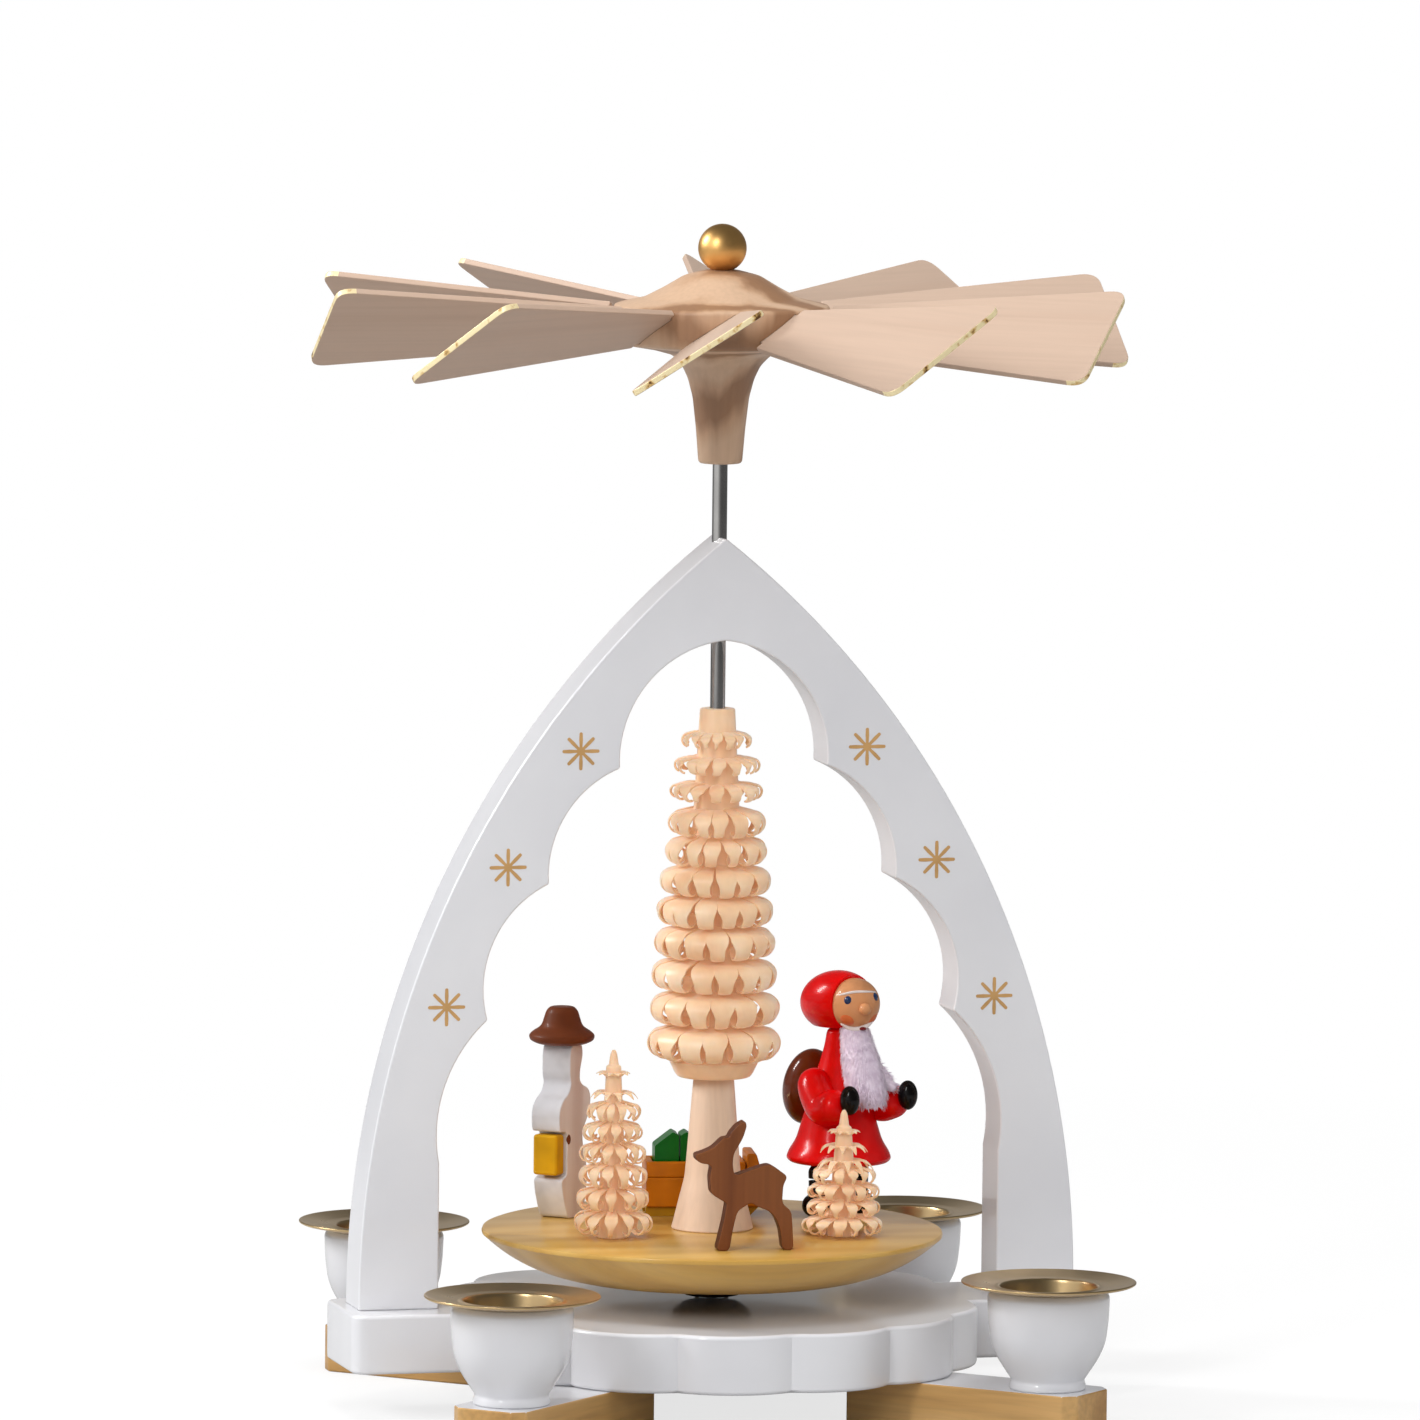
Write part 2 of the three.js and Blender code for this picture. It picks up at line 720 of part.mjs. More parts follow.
function makeSmallTree(name, parent, height, tipLength, tiers, spikyTiers) {
  const curlTop = height - tipLength;
  const core = turned([
    [0, 0],
    [smallTreeCoreRadius, 0],
    [smallTreeCoreTopRadius, curlTop],
    [smallTreeTipRadius, height - smallTreeTipRadius],
    [0, height],
  ], smallTreeCurls);
  const coreRadius = (z) => THREE.MathUtils.mapLinear(
    z, 0, curlTop, smallTreeCoreRadius, smallTreeCoreTopRadius,
  );
  piece(name, shavedTree(core, coreRadius, tiers, smallTreeCurls, spikyTiers), shavedWood, parent);
}

function makeSmallTrees() {
  const leftTop = leftTreeHeight - leftTreeTipLength;
  const leftTiers = spreadTiers(
    leftTop, smallTreeFootHeight, leftTreeTiers, leftTreeTopRadius, leftTreeRadius,
  );
  const leftPlace = standing(leftTreeInset, leftTreeBearing);
  makeSmallTree(
    "small_tree_left", leftPlace, leftTreeHeight, leftTreeTipLength, leftTiers, leftTreeSpikyTiers,
  );
  const rightTop = rightTreeHeight - rightTreeTipLength;
  const rightTiers = spreadTiers(
    rightTop, smallTreeFootHeight, rightTreeTiers, rightTreeTopRadius, rightTreeRadius,
  );
  const rightPlace = standing(rightTreeInset, rightTreeBearing);
  makeSmallTree(
    "small_tree_right", rightPlace, rightTreeHeight, rightTreeTipLength, rightTiers,
    rightTreeSpikyTiers,
  );
}

// A sawn figure: an upright outline in shares of its length, nose forward, and of its height.
function sawn(outline, length, height, thickness) {
  return upright(outline.map(([y, z]) => [y * length, z * height]), thickness).rotateZ(Math.PI / 2);
}

function makeDeer() {
  const outline = [
    [0.475, 0.745], [0.47, 0.7], [0.42, 0.675], [0.305, 0.66], [0.33, 0.575], [0.315, 0.44],
    [0.2, 0.385], [0.155, 0.365], [0.18, 0.245], [0.255, 0], [0.125, 0], [0.09, 0.165],
    [0.045, 0.305], [-0.09, 0.37], [-0.16, 0.335], [-0.28, 0.3], [-0.34, 0.25], [-0.39, 0.155],
    [-0.415, 0], [-0.525, 0], [-0.515, 0.165], [-0.5, 0.3], [-0.405, 0.36], [-0.415, 0.5],
    [-0.46, 0.565], [-0.355, 0.625], [-0.275, 0.66], [-0.19, 0.645], [0.08, 0.575], [0.1, 0.66],
    [0.09, 0.745], [0.03, 0.82], [-0.005, 0.87], [-0.04, 0.955], [-0.025, 0.995], [0.055, 0.95],
    [0.17, 0.905], [0.3, 0.82], [0.42, 0.755],
  ];
  const deer = sawn(outline, deerLength, deerHeight, deerThickness);
  piece("deer", deer, brownPaint, standing(deerInset, deerBearing));
}

function makeSleigh() {
  const group = standing(sleighInset, sleighBearing);
  const boxTop = sleighRunnerHeight + sleighBoxHeight;
  const dashTop = sleighFrontLength - sleighDashLean;
  const dashBack = dashTop - sleighDashThickness;
  const side = [
    [-sleighRearLength, sleighRunnerHeight],
    [sleighFrontLength - sleighRunnerHeight, sleighRunnerHeight],
    [sleighFrontLength, boxTop / 2],
    [dashTop, sleighDashHeight],
    [dashBack, sleighDashHeight],
    [dashBack, boxTop],
    [-sleighRearLength, boxTop],
  ];
  const box = upright(side, sleighWidth).rotateZ(Math.PI / 2);
  piece("sleigh_body", box, orangePaint, group);
  const runner = upright([
    [-sleighRearLength, 0],
    [sleighFrontLength - 2 * sleighRunnerHeight, 0],
    [sleighFrontLength - sleighRunnerHeight, sleighRunnerHeight],
    [-sleighRearLength, sleighRunnerHeight],
  ], runnerThickness).rotateZ(Math.PI / 2);
  const runnerX = sleighWidth / 2 - runnerThickness;
  for (const [name, x] of [["inner", runnerX], ["outer", -runnerX]]) {
    piece(`sleigh_runner_${name}`, runner, yellowPaint, group).position.x = x;
  }
  const railFront = dashBack - fitGap;
  const railLength = sleighRearLength + railFront;
  const railMiddle = (railFront - sleighRearLength) / 2;
  const rail = cut(
    block(sleighWidth, railLength, sleighRailHeight),
    block(sleighWidth - 2 * sleighRailWall, railLength - 2 * sleighRailWall, sleighRailHeight + 2),
  );
  const railMesh = piece("sleigh_rail", rail, orangePaint, group);
  railMesh.position.set(0, railMiddle, boxTop + sleighRailHeight / 2);
  // Two parcels with slanted tops, back to back
  const top = parcelShoulder + (parcelHeight - parcelShoulder) * 0.75;
  const parcel = upright([
    [-parcelLength, 0], [0, 0], [0, top], [-parcelLength * 0.25, parcelHeight],
    [-parcelLength, parcelShoulder],
  ], parcelWidth).rotateZ(Math.PI / 2);
  const meeting = fitGap - sleighRearLength + sleighRailWall + parcelLength;
  piece("sleigh_parcel_1", parcel, greenPaint, group).position.set(0, meeting, boxTop);
  const second = piece("sleigh_parcel_2", parcel, greenPaint, group);
  second.position.set(0, meeting + fitGap, boxTop);
  second.rotation.z = Math.PI;
}

function makeSnowman() {
  const group = standing(snowmanInset, snowmanBearing);
  // Back from the head down, then the front up. The pack sits in the notch of the back.
  const notch = -0.28;
  const notchBottom = 0.25;
  const outline = [
    [-0.155, 1], [-0.205, 0.95], [-0.205, 0.83], [-0.155, 0.78], [-0.235, 0.725], [-0.4, 0.695],
    [-0.5, 0.655], [-0.535, 0.61], [-0.525, 0.545], [-0.5, 0.51], [notch, 0.505],
    [notch, notchBottom], [-0.455, 0.235], [-0.41, 0.15], [-0.33, 0.075], [-0.23, 0],
    [0.245, 0], [0.31, 0.08], [0.375, 0.2], [0.335, 0.33], [0.22, 0.43], [0.215, 0.485],
    [0.28, 0.52], [0.41, 0.585], [0.465, 0.65], [0.45, 0.7], [0.375, 0.735], [0.2, 0.76],
    [0.11, 0.79], [0.12, 0.85], [0.205, 0.93], [0.17, 1],
  ];
  const body = sawn(outline, snowmanDepth, snowmanHeight, snowmanThickness);
  piece("snowman_body", body, whitewash, group);
  const hat = turned([
    [0, 0],
    [snowmanHatRadius * 0.75, 0],
    [snowmanHatRadius * 0.97, snowmanHatHeight * 0.13],
    [snowmanHatRadius, snowmanHatHeight * 0.24],
    [snowmanHatRadius * 0.87, snowmanHatHeight * 0.33],
    [snowmanHatRadius * 0.62, snowmanHatHeight * 0.47],
    [snowmanHatRadius * 0.48, snowmanHatHeight * 0.9],
    [snowmanHatRadius * 0.38, snowmanHatHeight],
    [0, snowmanHatHeight],
  ], smallSides);
  piece("snowman_hat", hat, hatPaint, group).position.set(0, snowmanHatReach, snowmanHeight);
  const packMesh = piece("snowman_pack", block(packWidth, packDepth, packHeight), yellowPaint, group);
  const packMiddle = notch * snowmanDepth - fitGap - packDepth / 2;
  const packBottom = notchBottom * snowmanHeight + fitGap;
  packMesh.position.set(0, packMiddle, packBottom + packHeight / 2);
}

function makeSanta() {
  const group = standing(santaInset, santaBearing);
  const reach = 4 * santaHemRadius;
  const under = (height) => block(reach, reach, reach).translate(0, 0, height - reach / 2);
  const coatWith = (gap) => turned([
    [0, santaHemHeight],
    [santaHemRadius - santaHemRound + gap, santaHemHeight],
    [santaHemRadius + gap, santaHemHeight + santaHemRound],
    [santaWaistRadius + gap, santaWaistHeight],
    [santaShoulderRadius + gap, santaShoulderHeight],
    [santaNeckRadius + gap, santaNeckHeight],
    [0, santaNeckHeight],
  ]);
  piece("santa_coat", coatWith(0), redPaint, group);
  const clearCoat = coatWith(fitGap);

  const headPlace = new THREE.Vector3(0, santaHeadReach, santaHeadHeight);
  const head = ball(santaHeadRadius).translate(...headPlace);
  piece("santa_head", head, skinPaint, group);
  const clearHead = ball(santaHeadRadius + fitGap).translate(...headPlace);
  const nose = ball(santaNoseRadius, limbSides);
  nose.translate(0, santaHeadRadius + santaNoseRadius / 2, -santaNoseDrop);
  nose.rotateZ(santaHeadTurn * degrees).translate(...headPlace);
  piece("santa_nose", cut(nose, clearHead), skinPaint, group);

  // The beard falls forward from under the face.
  const beardWith = (gap) => {
    const hang = turned([
      [0, -santaBeardLength - gap],
      [santaBeardRadius * 0.6 + gap, -santaBeardLength - gap],
      [santaBeardRadius + gap, -santaBeardLength * 0.8],
      [santaBeardRadius + gap, -santaBeardLength * 0.45],
      [santaBeardRadius * 0.65 + gap, 0],
      [0, 0],
    ], smallSides);
    const lean = new THREE.Matrix4().makeShear(0, 0, 0, 0, 0, -santaBeardSlope);
    return hang.applyMatrix4(lean).translate(0, santaBeardReach, santaBeardTop);
  };
  const clearBeard = beardWith(fitGap);
  piece("santa_beard", cut(beardWith(0), clearCoat, clearHead), beardPlush, group);

  const hood = ball(1).scale(santaHoodRadius, santaHoodLength / 2, santaHoodRadius);
  hood.rotateX(santaHoodTilt * degrees).translate(0, santaHoodReach, santaHeadHeight);
  const neckGround = under(santaNeckHeight + fitGap);
  const faceSide = block(reach, reach, reach).translate(0, headPlace.y + reach / 2, headPlace.z);
  piece("santa_hood", cut(hood, clearHead, clearBeard, neckGround, faceSide), redPaint, group);

  const sackWith = (gap) => {
    const sack = ball(1);
    sack.scale(santaSackWidth / 2 + gap, santaSackDepth / 2 + gap, santaSackLength / 2 + gap);
    return sack.rotateX(santaSackTilt * degrees).translate(0, -santaSackReach, santaSackHeight);
  };
  piece("santa_sack", cut(sackWith(0), clearCoat), sackPaint, group);
  const clearSack = sackWith(fitGap);

  for (const [name, side] of [["right", 1], ["left", -1]]) {
    const [shoulder, elbow, wrist] = [santaArmRoot, santaElbow, santaWrist].map(
      ([x, y, z]) => [side * x, y, z],
    );
    const between = (from, to, bend) => from.map((value, axis) => (value + to[axis]) / 2 + bend[axis]);
    const upper = between(shoulder, elbow, [side * 0.6, -0.6, 0]);
    const lower = between(elbow, wrist, [side * 0.3, 0, -0.7]);
    const sleeve = limb([shoulder, upper, elbow, lower, wrist], santaSleeveRadius);
    const fitted = cut(sleeve, clearCoat, clearBeard, clearHead, clearSack);
    piece(`santa_arm_${name}`, fitted, redPaint, group);
    const toHand = new THREE.Vector3(...wrist).sub(new THREE.Vector3(...lower)).normalize();
    const handPlace = new THREE.Vector3(...wrist).addScaledVector(toHand, santaMittenRadius + fitGap);
    const mitten = ball(1, limbSides).scale(santaMittenRadius, santaMittenRadius, santaMittenHeight / 2);
    mitten.translate(handPlace.x, handPlace.y, handPlace.z - santaMittenDrop);
    const clearSleeve = limb([shoulder, upper, elbow, lower, wrist], santaSleeveRadius + fitGap);
    piece(`santa_mitten_${name}`, cut(mitten, clearBeard, clearSleeve), blackPaint, group);
    const foot = ball(1, limbSides).scale(santaBootRadius, santaBootLength / 2, santaBootRadius);
    const boot = join(
      foot.translate(0, 0, santaBootRadius * 0.9),
      cylinder(santaBootRadius * 0.75, santaBootRadius, santaHemHeight, limbSides),
    ).translate(side * santaBootSpread, 0, 0);
    piece(`santa_boot_${name}`, cut(boot, under(0)), blackPaint, group);
  }
}

function makeWheel() {
  const hub = turned([
    [0, hubBottom],
    [hubNeckRadius, hubBottom],
    [hubNeckRadius * 1.28, hubBottom + hubNeckHeight * 0.6],
    [hubNeckRadius * 1.5, hubBottom + hubNeckHeight * 0.78],
    [hubSwellRadius, hubSwellTop - hubSwellHeight * 0.8],
    [hubSwellRadius + 2.5, hubSwellTop],
    [hubFlangeRadius, hubFlangeBottom],
    [hubFlangeRadius, hubFlangeTop],
    [hubFlangeRadius * 0.72, hubFlangeTop + hubDomeHeight * 0.2],
    [hubFlangeRadius * 0.53, hubFlangeTop + hubDomeHeight * 0.5],
    [hubFlangeRadius * 0.35, hubFlangeTop + hubDomeHeight * 0.84],
    [hubDomeFlatRadius, hubTop],
    [0, hubTop],
  ], fineSides);
  const rodBore = cylinder(boreRadius, hubBottom - 1, hubBottom + hubRodDepth + fitGap, smallSides);
  const pegEnd = hubTop - ballPegLength - fitGap;
  const pegBore = cylinder(ballPegRadius + fitGap, pegEnd, hubTop + 1, smallSides);
  const tongueEnd = hubFlangeRadius - bladeTongueLength;
  const slotEnd = tongueEnd - fitGap;
  const slotLength = hubFlangeRadius + 2 - slotEnd;
  const slots = [];
  for (let i = 0; i < bladeCount; i++) {
    const slot = block(slotLength, bladeTongueWidth + 2 * fitGap, bladeThickness + 2 * fitGap);
    slot.translate(slotEnd + slotLength / 2, 0, 0).rotateX(bladeTilt * degrees);
    slots.push(slot.rotateZ(2 * Math.PI * i / bladeCount).translate(0, 0, bladeHeight));
  }
  piece("wing_hub", cut(hub, rodBore, pegBore, ...slots), paleWood, rotor);

  const shoulder = hubFlangeRadius + fitGap;
  const halfRoot = bladeRootWidth / 2;
  const halfTip = bladeTipWidth / 2;
  const round = bladeCornerRadius;
  const blade = new THREE.Shape();
  blade.moveTo(tongueEnd, -bladeTongueWidth / 2);
  blade.lineTo(shoulder, -bladeTongueWidth / 2);
  blade.lineTo(shoulder, -halfRoot);
  blade.lineTo(bladeTipReach - round, -halfTip);
  blade.quadraticCurveTo(bladeTipReach, -halfTip, bladeTipReach, -halfTip + round);
  blade.lineTo(bladeTipReach, halfTip - round);
  blade.quadraticCurveTo(bladeTipReach, halfTip, bladeTipReach - round, halfTip);
  blade.lineTo(shoulder, halfRoot);
  blade.lineTo(shoulder, bladeTongueWidth / 2);
  blade.lineTo(tongueEnd, bladeTongueWidth / 2);
  const board = extruded(blade, bladeThickness).translate(0, 0, -bladeThickness / 2);
  for (let i = 0; i < bladeCount; i++) {
    const arm = new THREE.Group();
    arm.position.z = bladeHeight;
    arm.rotation.z = 2 * Math.PI * i / bladeCount;
    rotor.add(arm);
    const mesh = piece(`wing_blade_${String(i + 1).padStart(2, "0")}`, board, paleWood, arm);
    mesh.rotation.x = bladeTilt * degrees;
  }

  const ballProfile = [
    [0, hubTop - ballPegLength],
    [ballPegRadius, hubTop - ballPegLength],
    [ballPegRadius, hubTop],
  ];
  const seatAngle = Math.asin(0.45);
  const ballMiddle = hubTop + ballRadius * Math.cos(seatAngle);
  const rings = 7;
  for (let i = 0; i <= rings; i++) {
    const angle = seatAngle + (Math.PI - seatAngle) * i / rings;
    const radius = i === rings ? 0 : ballRadius * Math.sin(angle);
    ballProfile.push([radius, ballMiddle - ballRadius * Math.cos(angle)]);
  }
  piece("finial_ball", turned(ballProfile, smallSides), gold, rotor);
}

makeLegs();
makeBasePlate();
makeArch();
makeCandleCups();
makeDripTrays();
makeRod();
makeTurntable();
makeTree();
makeSmallTrees();
makeDeer();
makeSleigh();
makeSnowman();
makeSanta();
makeWheel();

export default pyramid;
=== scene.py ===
import json
import math
import random

import bmesh
import bpy
from mathutils import Matrix, Vector


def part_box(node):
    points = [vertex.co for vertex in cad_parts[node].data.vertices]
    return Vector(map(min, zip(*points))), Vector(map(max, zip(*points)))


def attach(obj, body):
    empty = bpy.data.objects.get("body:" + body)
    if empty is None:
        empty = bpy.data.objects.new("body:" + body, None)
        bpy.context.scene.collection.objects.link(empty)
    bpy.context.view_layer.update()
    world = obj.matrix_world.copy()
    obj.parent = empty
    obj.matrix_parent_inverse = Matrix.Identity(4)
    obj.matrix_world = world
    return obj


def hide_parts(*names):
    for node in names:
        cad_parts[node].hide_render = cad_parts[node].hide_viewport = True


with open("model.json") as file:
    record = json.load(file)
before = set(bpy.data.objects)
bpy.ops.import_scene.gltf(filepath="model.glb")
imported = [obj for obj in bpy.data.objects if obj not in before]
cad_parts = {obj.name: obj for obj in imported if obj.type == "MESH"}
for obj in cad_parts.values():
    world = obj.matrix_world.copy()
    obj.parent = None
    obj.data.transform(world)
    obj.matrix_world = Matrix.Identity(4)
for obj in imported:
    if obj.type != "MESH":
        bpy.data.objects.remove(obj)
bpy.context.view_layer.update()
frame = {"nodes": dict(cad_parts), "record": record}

MM = 0.001
TO_METRES = Matrix.Scale(MM, 4)
BODY_OF = {node: body for body, nodes in frame["record"]["behaviour"]["bodies"].items() for node in nodes}
CORNERS = ("front_left", "front_right", "back_left", "back_right")
BORE = 2.0  # the radius of the holes that the rod goes through
random.seed(24)


# Places and sizes, in millimetres, taken from the frame

def box_mm(node):
    low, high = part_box(node)
    return Vector(low) / MM, Vector(high) / MM


def middle(node):
    low, high = box_mm(node)
    return (low + high) / 2


def heights(node):
    low, high = box_mm(node)
    return low.z, high.z


def half_width(node):
    low, high = box_mm(node)
    return max(high.x - low.x, high.y - low.y) / 2


# Materials

def srgb(red, green, blue):
    """A colour of 0 to 255 as the linear values that shaders take."""
    def linear(c):
        c /= 255
        return c / 12.92 if c <= 0.04045 else ((c + 0.055) / 1.055) ** 2.4
    return (linear(red), linear(green), linear(blue), 1)


class Nodes:
    """The node tree of a material or a world under construction."""

    def __init__(self, owner):
        owner.use_nodes = True
        self.tree = owner.node_tree

    def add(self, kind, **values):
        """A new node. Each value goes to the socket of that name, or else to the node's own setting."""
        node = self.tree.nodes.new(kind)
        for key, value in values.items():
            socket = key.replace("_", " ")
            if socket in node.inputs:
                node.inputs[socket].default_value = value
            else:
                setattr(node, key, value)
        return node

    def link(self, out, into):
        self.tree.links.new(out, into)

    def ramp(self, value, stops):
        node = self.add("ShaderNodeValToRGB")
        elements = node.color_ramp.elements
        elements.remove(elements[1])
        for i, (position, color) in enumerate(stops):
            element = elements.new(position) if i else elements[0]
            element.position = position
            element.color = color
        self.link(value, node.inputs["Fac"])
        return node.outputs["Color"]

    def mix(self, a, b, factor, mode="MIX"):
        node = self.add("ShaderNodeMix", data_type="RGBA", blend_type=mode)
        for value, socket in ((factor, node.inputs[0]), (a, node.inputs[6]), (b, node.inputs[7])):
            if hasattr(value, "is_linked"):
                self.link(value, socket)
            else:
                socket.default_value = value
        return node.outputs[2]

    def mix_shaders(self, factor, first, second):
        node = self.add("ShaderNodeMixShader")
        for output, socket in zip((factor, first.outputs[0], second.outputs[0]), node.inputs):
            self.link(output, socket)
        return node


class Material(Nodes):
    """A material, with its Principled shader and a few recipes for it."""

    def __init__(self, name, color, roughness, metallic=0.0, lying=False, **sockets):
        self.material = bpy.data.materials.new(name)
        super().__init__(self.material)
        self.shader = self.tree.nodes["Principled BSDF"]
        self.lying = lying
        sockets.update(Base_Color=color, Roughness=roughness, Metallic=metallic)
        for socket, value in sockets.items():
            self.shader.inputs[socket.replace("_", " ")].default_value = value

    def coordinates(self, scale, turn=(0, 0, 0)):
        """Places in the piece. For a lying piece they are those that it had before it was tilted."""
        if self.lying:
            source = self.add("ShaderNodeAttribute", attribute_name="grain").outputs["Vector"]
        else:
            source = self.add("ShaderNodeTexCoord").outputs["Object"]
        mapping = self.add("ShaderNodeMapping", Scale=scale, Rotation=turn)
        self.link(source, mapping.inputs["Vector"])
        return mapping.outputs["Vector"]

    def noise(self, scale, stretch=(1, 1, 1), detail=4, distortion=0.0):
        node = self.add("ShaderNodeTexNoise", Scale=scale, Detail=detail, Distortion=distortion)
        self.link(self.coordinates(stretch), node.inputs["Vector"])
        return node.outputs["Fac"]

    def waves(self, scale, stretch, distortion, turn=(0, 0, 0), **kind):
        node = self.add("ShaderNodeTexWave", Scale=scale, Distortion=distortion, Detail=3, Detail_Scale=1.6,
                        **kind)
        self.link(self.coordinates(stretch, turn), node.inputs["Vector"])
        return node.outputs["Fac"]

    def flecked(self, body, fibre, start, level, share, end=0.6):
        """A colour with darker flecks where the fibre is low."""
        return self.mix(body, self.ramp(fibre, [(start, gray(level)), (end, gray(1.0))]), share, "MULTIPLY")

    def color(self, output):
        self.link(output, self.shader.inputs["Base Color"])

    def roughness(self, output, low, high):
        node = self.add("ShaderNodeMapRange", To_Min=low, To_Max=high)
        self.link(output, node.inputs["Value"])
        self.link(node.outputs["Result"], self.shader.inputs["Roughness"])

    def bump(self, output, strength, distance):
        node = self.add("ShaderNodeBump", Strength=strength, Distance=distance)
        self.link(output, node.inputs["Height"])
        previous = self.shader.inputs["Normal"].links
        if previous:
            self.link(previous[0].from_socket, node.inputs["Normal"])
        self.link(node.outputs["Normal"], self.shader.inputs["Normal"])


def gray(value):
    return (value, value, value, 1)


def dimmed(color, share):
    return tuple(c * share for c in color[:3]) + (1,)


def along(grain, share):
    """The scale that stretches a texture along the grain, which is one axis of the piece."""
    return [share if axis == grain else 1 for axis in "XYZ"]


def white_paint():
    """Sprayed white lacquer over wood whose grain still shows a little."""
    paint = Material("white_paint", srgb(228, 228, 231), 0.4, Coat_Weight=0.8, Coat_Roughness=0.1)
    tones = [(0.3, srgb(222, 222, 226)), (0.7, srgb(231, 231, 234))]
    paint.color(paint.ramp(paint.noise(28, detail=3), tones))
    paint.roughness(paint.noise(90), 0.32, 0.48)
    paint.bump(paint.noise(420, along("Z", 0.12), detail=5), 0.1, 0.00008)
    paint.bump(paint.noise(60, detail=2), 0.08, 0.0004)
    return paint.material


def bare_wood(name, light, dark, grain, rough, bump, fleck=0.8, lying=False):
    """Planed or turned wood with its grain along one axis of the piece."""
    wood = Material(name, light, rough, lying=lying, Specular_IOR_Level=0.3)
    figure = wood.noise(70, along(grain, 0.05), distortion=0.8)
    fibre = wood.noise(900, along(grain, 0.03), detail=5)
    body = wood.ramp(figure, [(0.3, dark), (0.48, light), (0.72, light)])
    wood.color(wood.flecked(body, fibre, 0.35, fleck, 0.55))
    wood.roughness(fibre, rough - 0.08, rough + 0.12)
    wood.bump(fibre, bump, 0.00012)
    return wood.material


def enamel(name, color, rough=0.22, coat=0.1):
    """Brushed-on gloss paint: a little uneven in colour and level."""
    paint = Material(name, color, rough, Coat_Weight=coat, Coat_Roughness=0.06, Specular_IOR_Level=0.16)
    paint.color(paint.ramp(paint.noise(160, detail=2), [(0.3, dimmed(color, 0.82)), (0.6, color)]))
    paint.bump(paint.noise(260, detail=3), 0.12, 0.00015)
    paint.roughness(paint.noise(300, detail=2), rough - 0.04, rough + 0.08)
    return paint.material


def metal(name, color, rough, turned_scale=0, spread=0.06):
    """Metal with fine scratches that run round the piece, as turning or polishing leaves them."""
    plate = Material(name, color, rough, 1.0)
    plate.roughness(plate.noise(120), rough - spread, rough + spread)
    if turned_scale:
        plate.bump(plate.noise(turned_scale, (0.02, 0.02, 1), detail=3), 0.08, 0.00004)
    plate.color(plate.ramp(plate.noise(45, detail=5), [(0.32, dimmed(color, 0.72)), (0.62, color)]))
    return plate.material


def shaved_wood():
    """Thin curled shavings: smooth and peach in the folds, with a painted rim light that whitens them
    where they turn away. A little warm glow stands in for the light that comes through them."""
    wood = Material("shaved_wood", srgb(238, 198, 160), 0.36, Emission_Color=(1.0, 0.62, 0.36, 1),
                    Emission_Strength=0.09, Subsurface_Weight=0.3, Subsurface_Radius=(1.0, 0.5, 0.25),
                    Subsurface_Scale=0.0015)
    patches = wood.noise(120, detail=2)
    tones = [(0.3, srgb(233, 188, 148)), (0.5, srgb(240, 203, 166)), (0.75, srgb(246, 215, 184))]
    body = wood.ramp(patches, tones)
    fibre = wood.noise(900, (1, 1, 0.2), detail=3)
    # painted rim light: whitish where the surface turns away from view
    facing = wood.add("ShaderNodeLayerWeight", Blend=0.45)
    painted_rim_light = wood.ramp(facing.outputs["Facing"], [(0.45, gray(0)), (0.95, gray(0.6))])
    wood.color(wood.mix(wood.flecked(body, fibre, 0.3, 0.92, 0.5), srgb(246, 234, 222), painted_rim_light))
    wood.bump(fibre, 0.1, 0.00008)
    return wood.material


def turned_wood():
    """The hub: ring grain that shows as arches and flames where the cut runs along the wood."""
    wood = Material("hub_wood", srgb(190, 156, 129), 0.48, Coat_Weight=0.1, Coat_Roughness=0.3)
    rings = wood.waves(85, (1, 0.9, 0.16), 2.2, (0.35, 0.12, 0), wave_type="RINGS", rings_direction="X")
    tones = [(0.1, srgb(150, 112, 82)), (0.45, srgb(186, 149, 118)), (0.9, srgb(200, 167, 138))]
    body = wood.ramp(rings, tones)
    fibre = wood.noise(900, along("Z", 0.04), detail=5)
    wood.color(wood.flecked(body, fibre, 0.35, 0.86, 0.5))
    wood.bump(fibre, 0.2, 0.0001)
    return wood.material


def gilt_edge():
    """Gold paint on sawn edges, with dark scorched flecks."""
    paint = Material("gilt_edge", srgb(246, 224, 168), 0.42, 0.3)
    tones = [(0.3, srgb(96, 62, 30)), (0.36, srgb(214, 174, 108)), (0.46, srgb(250, 232, 184))]
    paint.color(paint.ramp(paint.noise(420), tones))
    return paint.material


def ochre_disc():
    """The turned disc: flat-sawn wood under golden lacquer."""
    wood = Material("ochre_disc", srgb(205, 162, 84), 0.32, Coat_Weight=0.3, Coat_Roughness=0.16,
                    Specular_IOR_Level=0.35)
    rings = wood.waves(26, along("X", 0.25), 5.0, wave_type="BANDS", bands_direction="Y")
    tones = [(0.1, srgb(202, 157, 76)), (0.5, srgb(207, 163, 83)), (0.9, srgb(211, 169, 90))]
    body = wood.ramp(rings, tones)
    pores = wood.noise(700, along("X", 0.04), detail=5)
    wood.color(wood.flecked(body, pores, 0.32, 0.9, 0.6, 0.55))
    wood.bump(pores, 0.12, 0.0001)
    wood.roughness(pores, 0.26, 0.38)
    return wood.material


def bronze_leg():
    """Gold-bronze stain on the sides of the legs, streaked along the grain."""
    wood = Material("bronze_leg", srgb(200, 158, 96), 0.42, 0.25, Coat_Weight=0.2)
    streaks = wood.noise(60, along("X", 0.12), detail=5, distortion=0.5)
    tones = [(0.25, srgb(160, 112, 56)), (0.5, srgb(208, 162, 98)), (0.75, srgb(230, 188, 128))]
    body = wood.ramp(streaks, tones)
    pores = wood.noise(800, along("X", 0.06))
    wood.color(wood.flecked(body, pores, 0.3, 0.75, 0.6))
    wood.bump(pores, 0.2, 0.0001)
    return wood.material


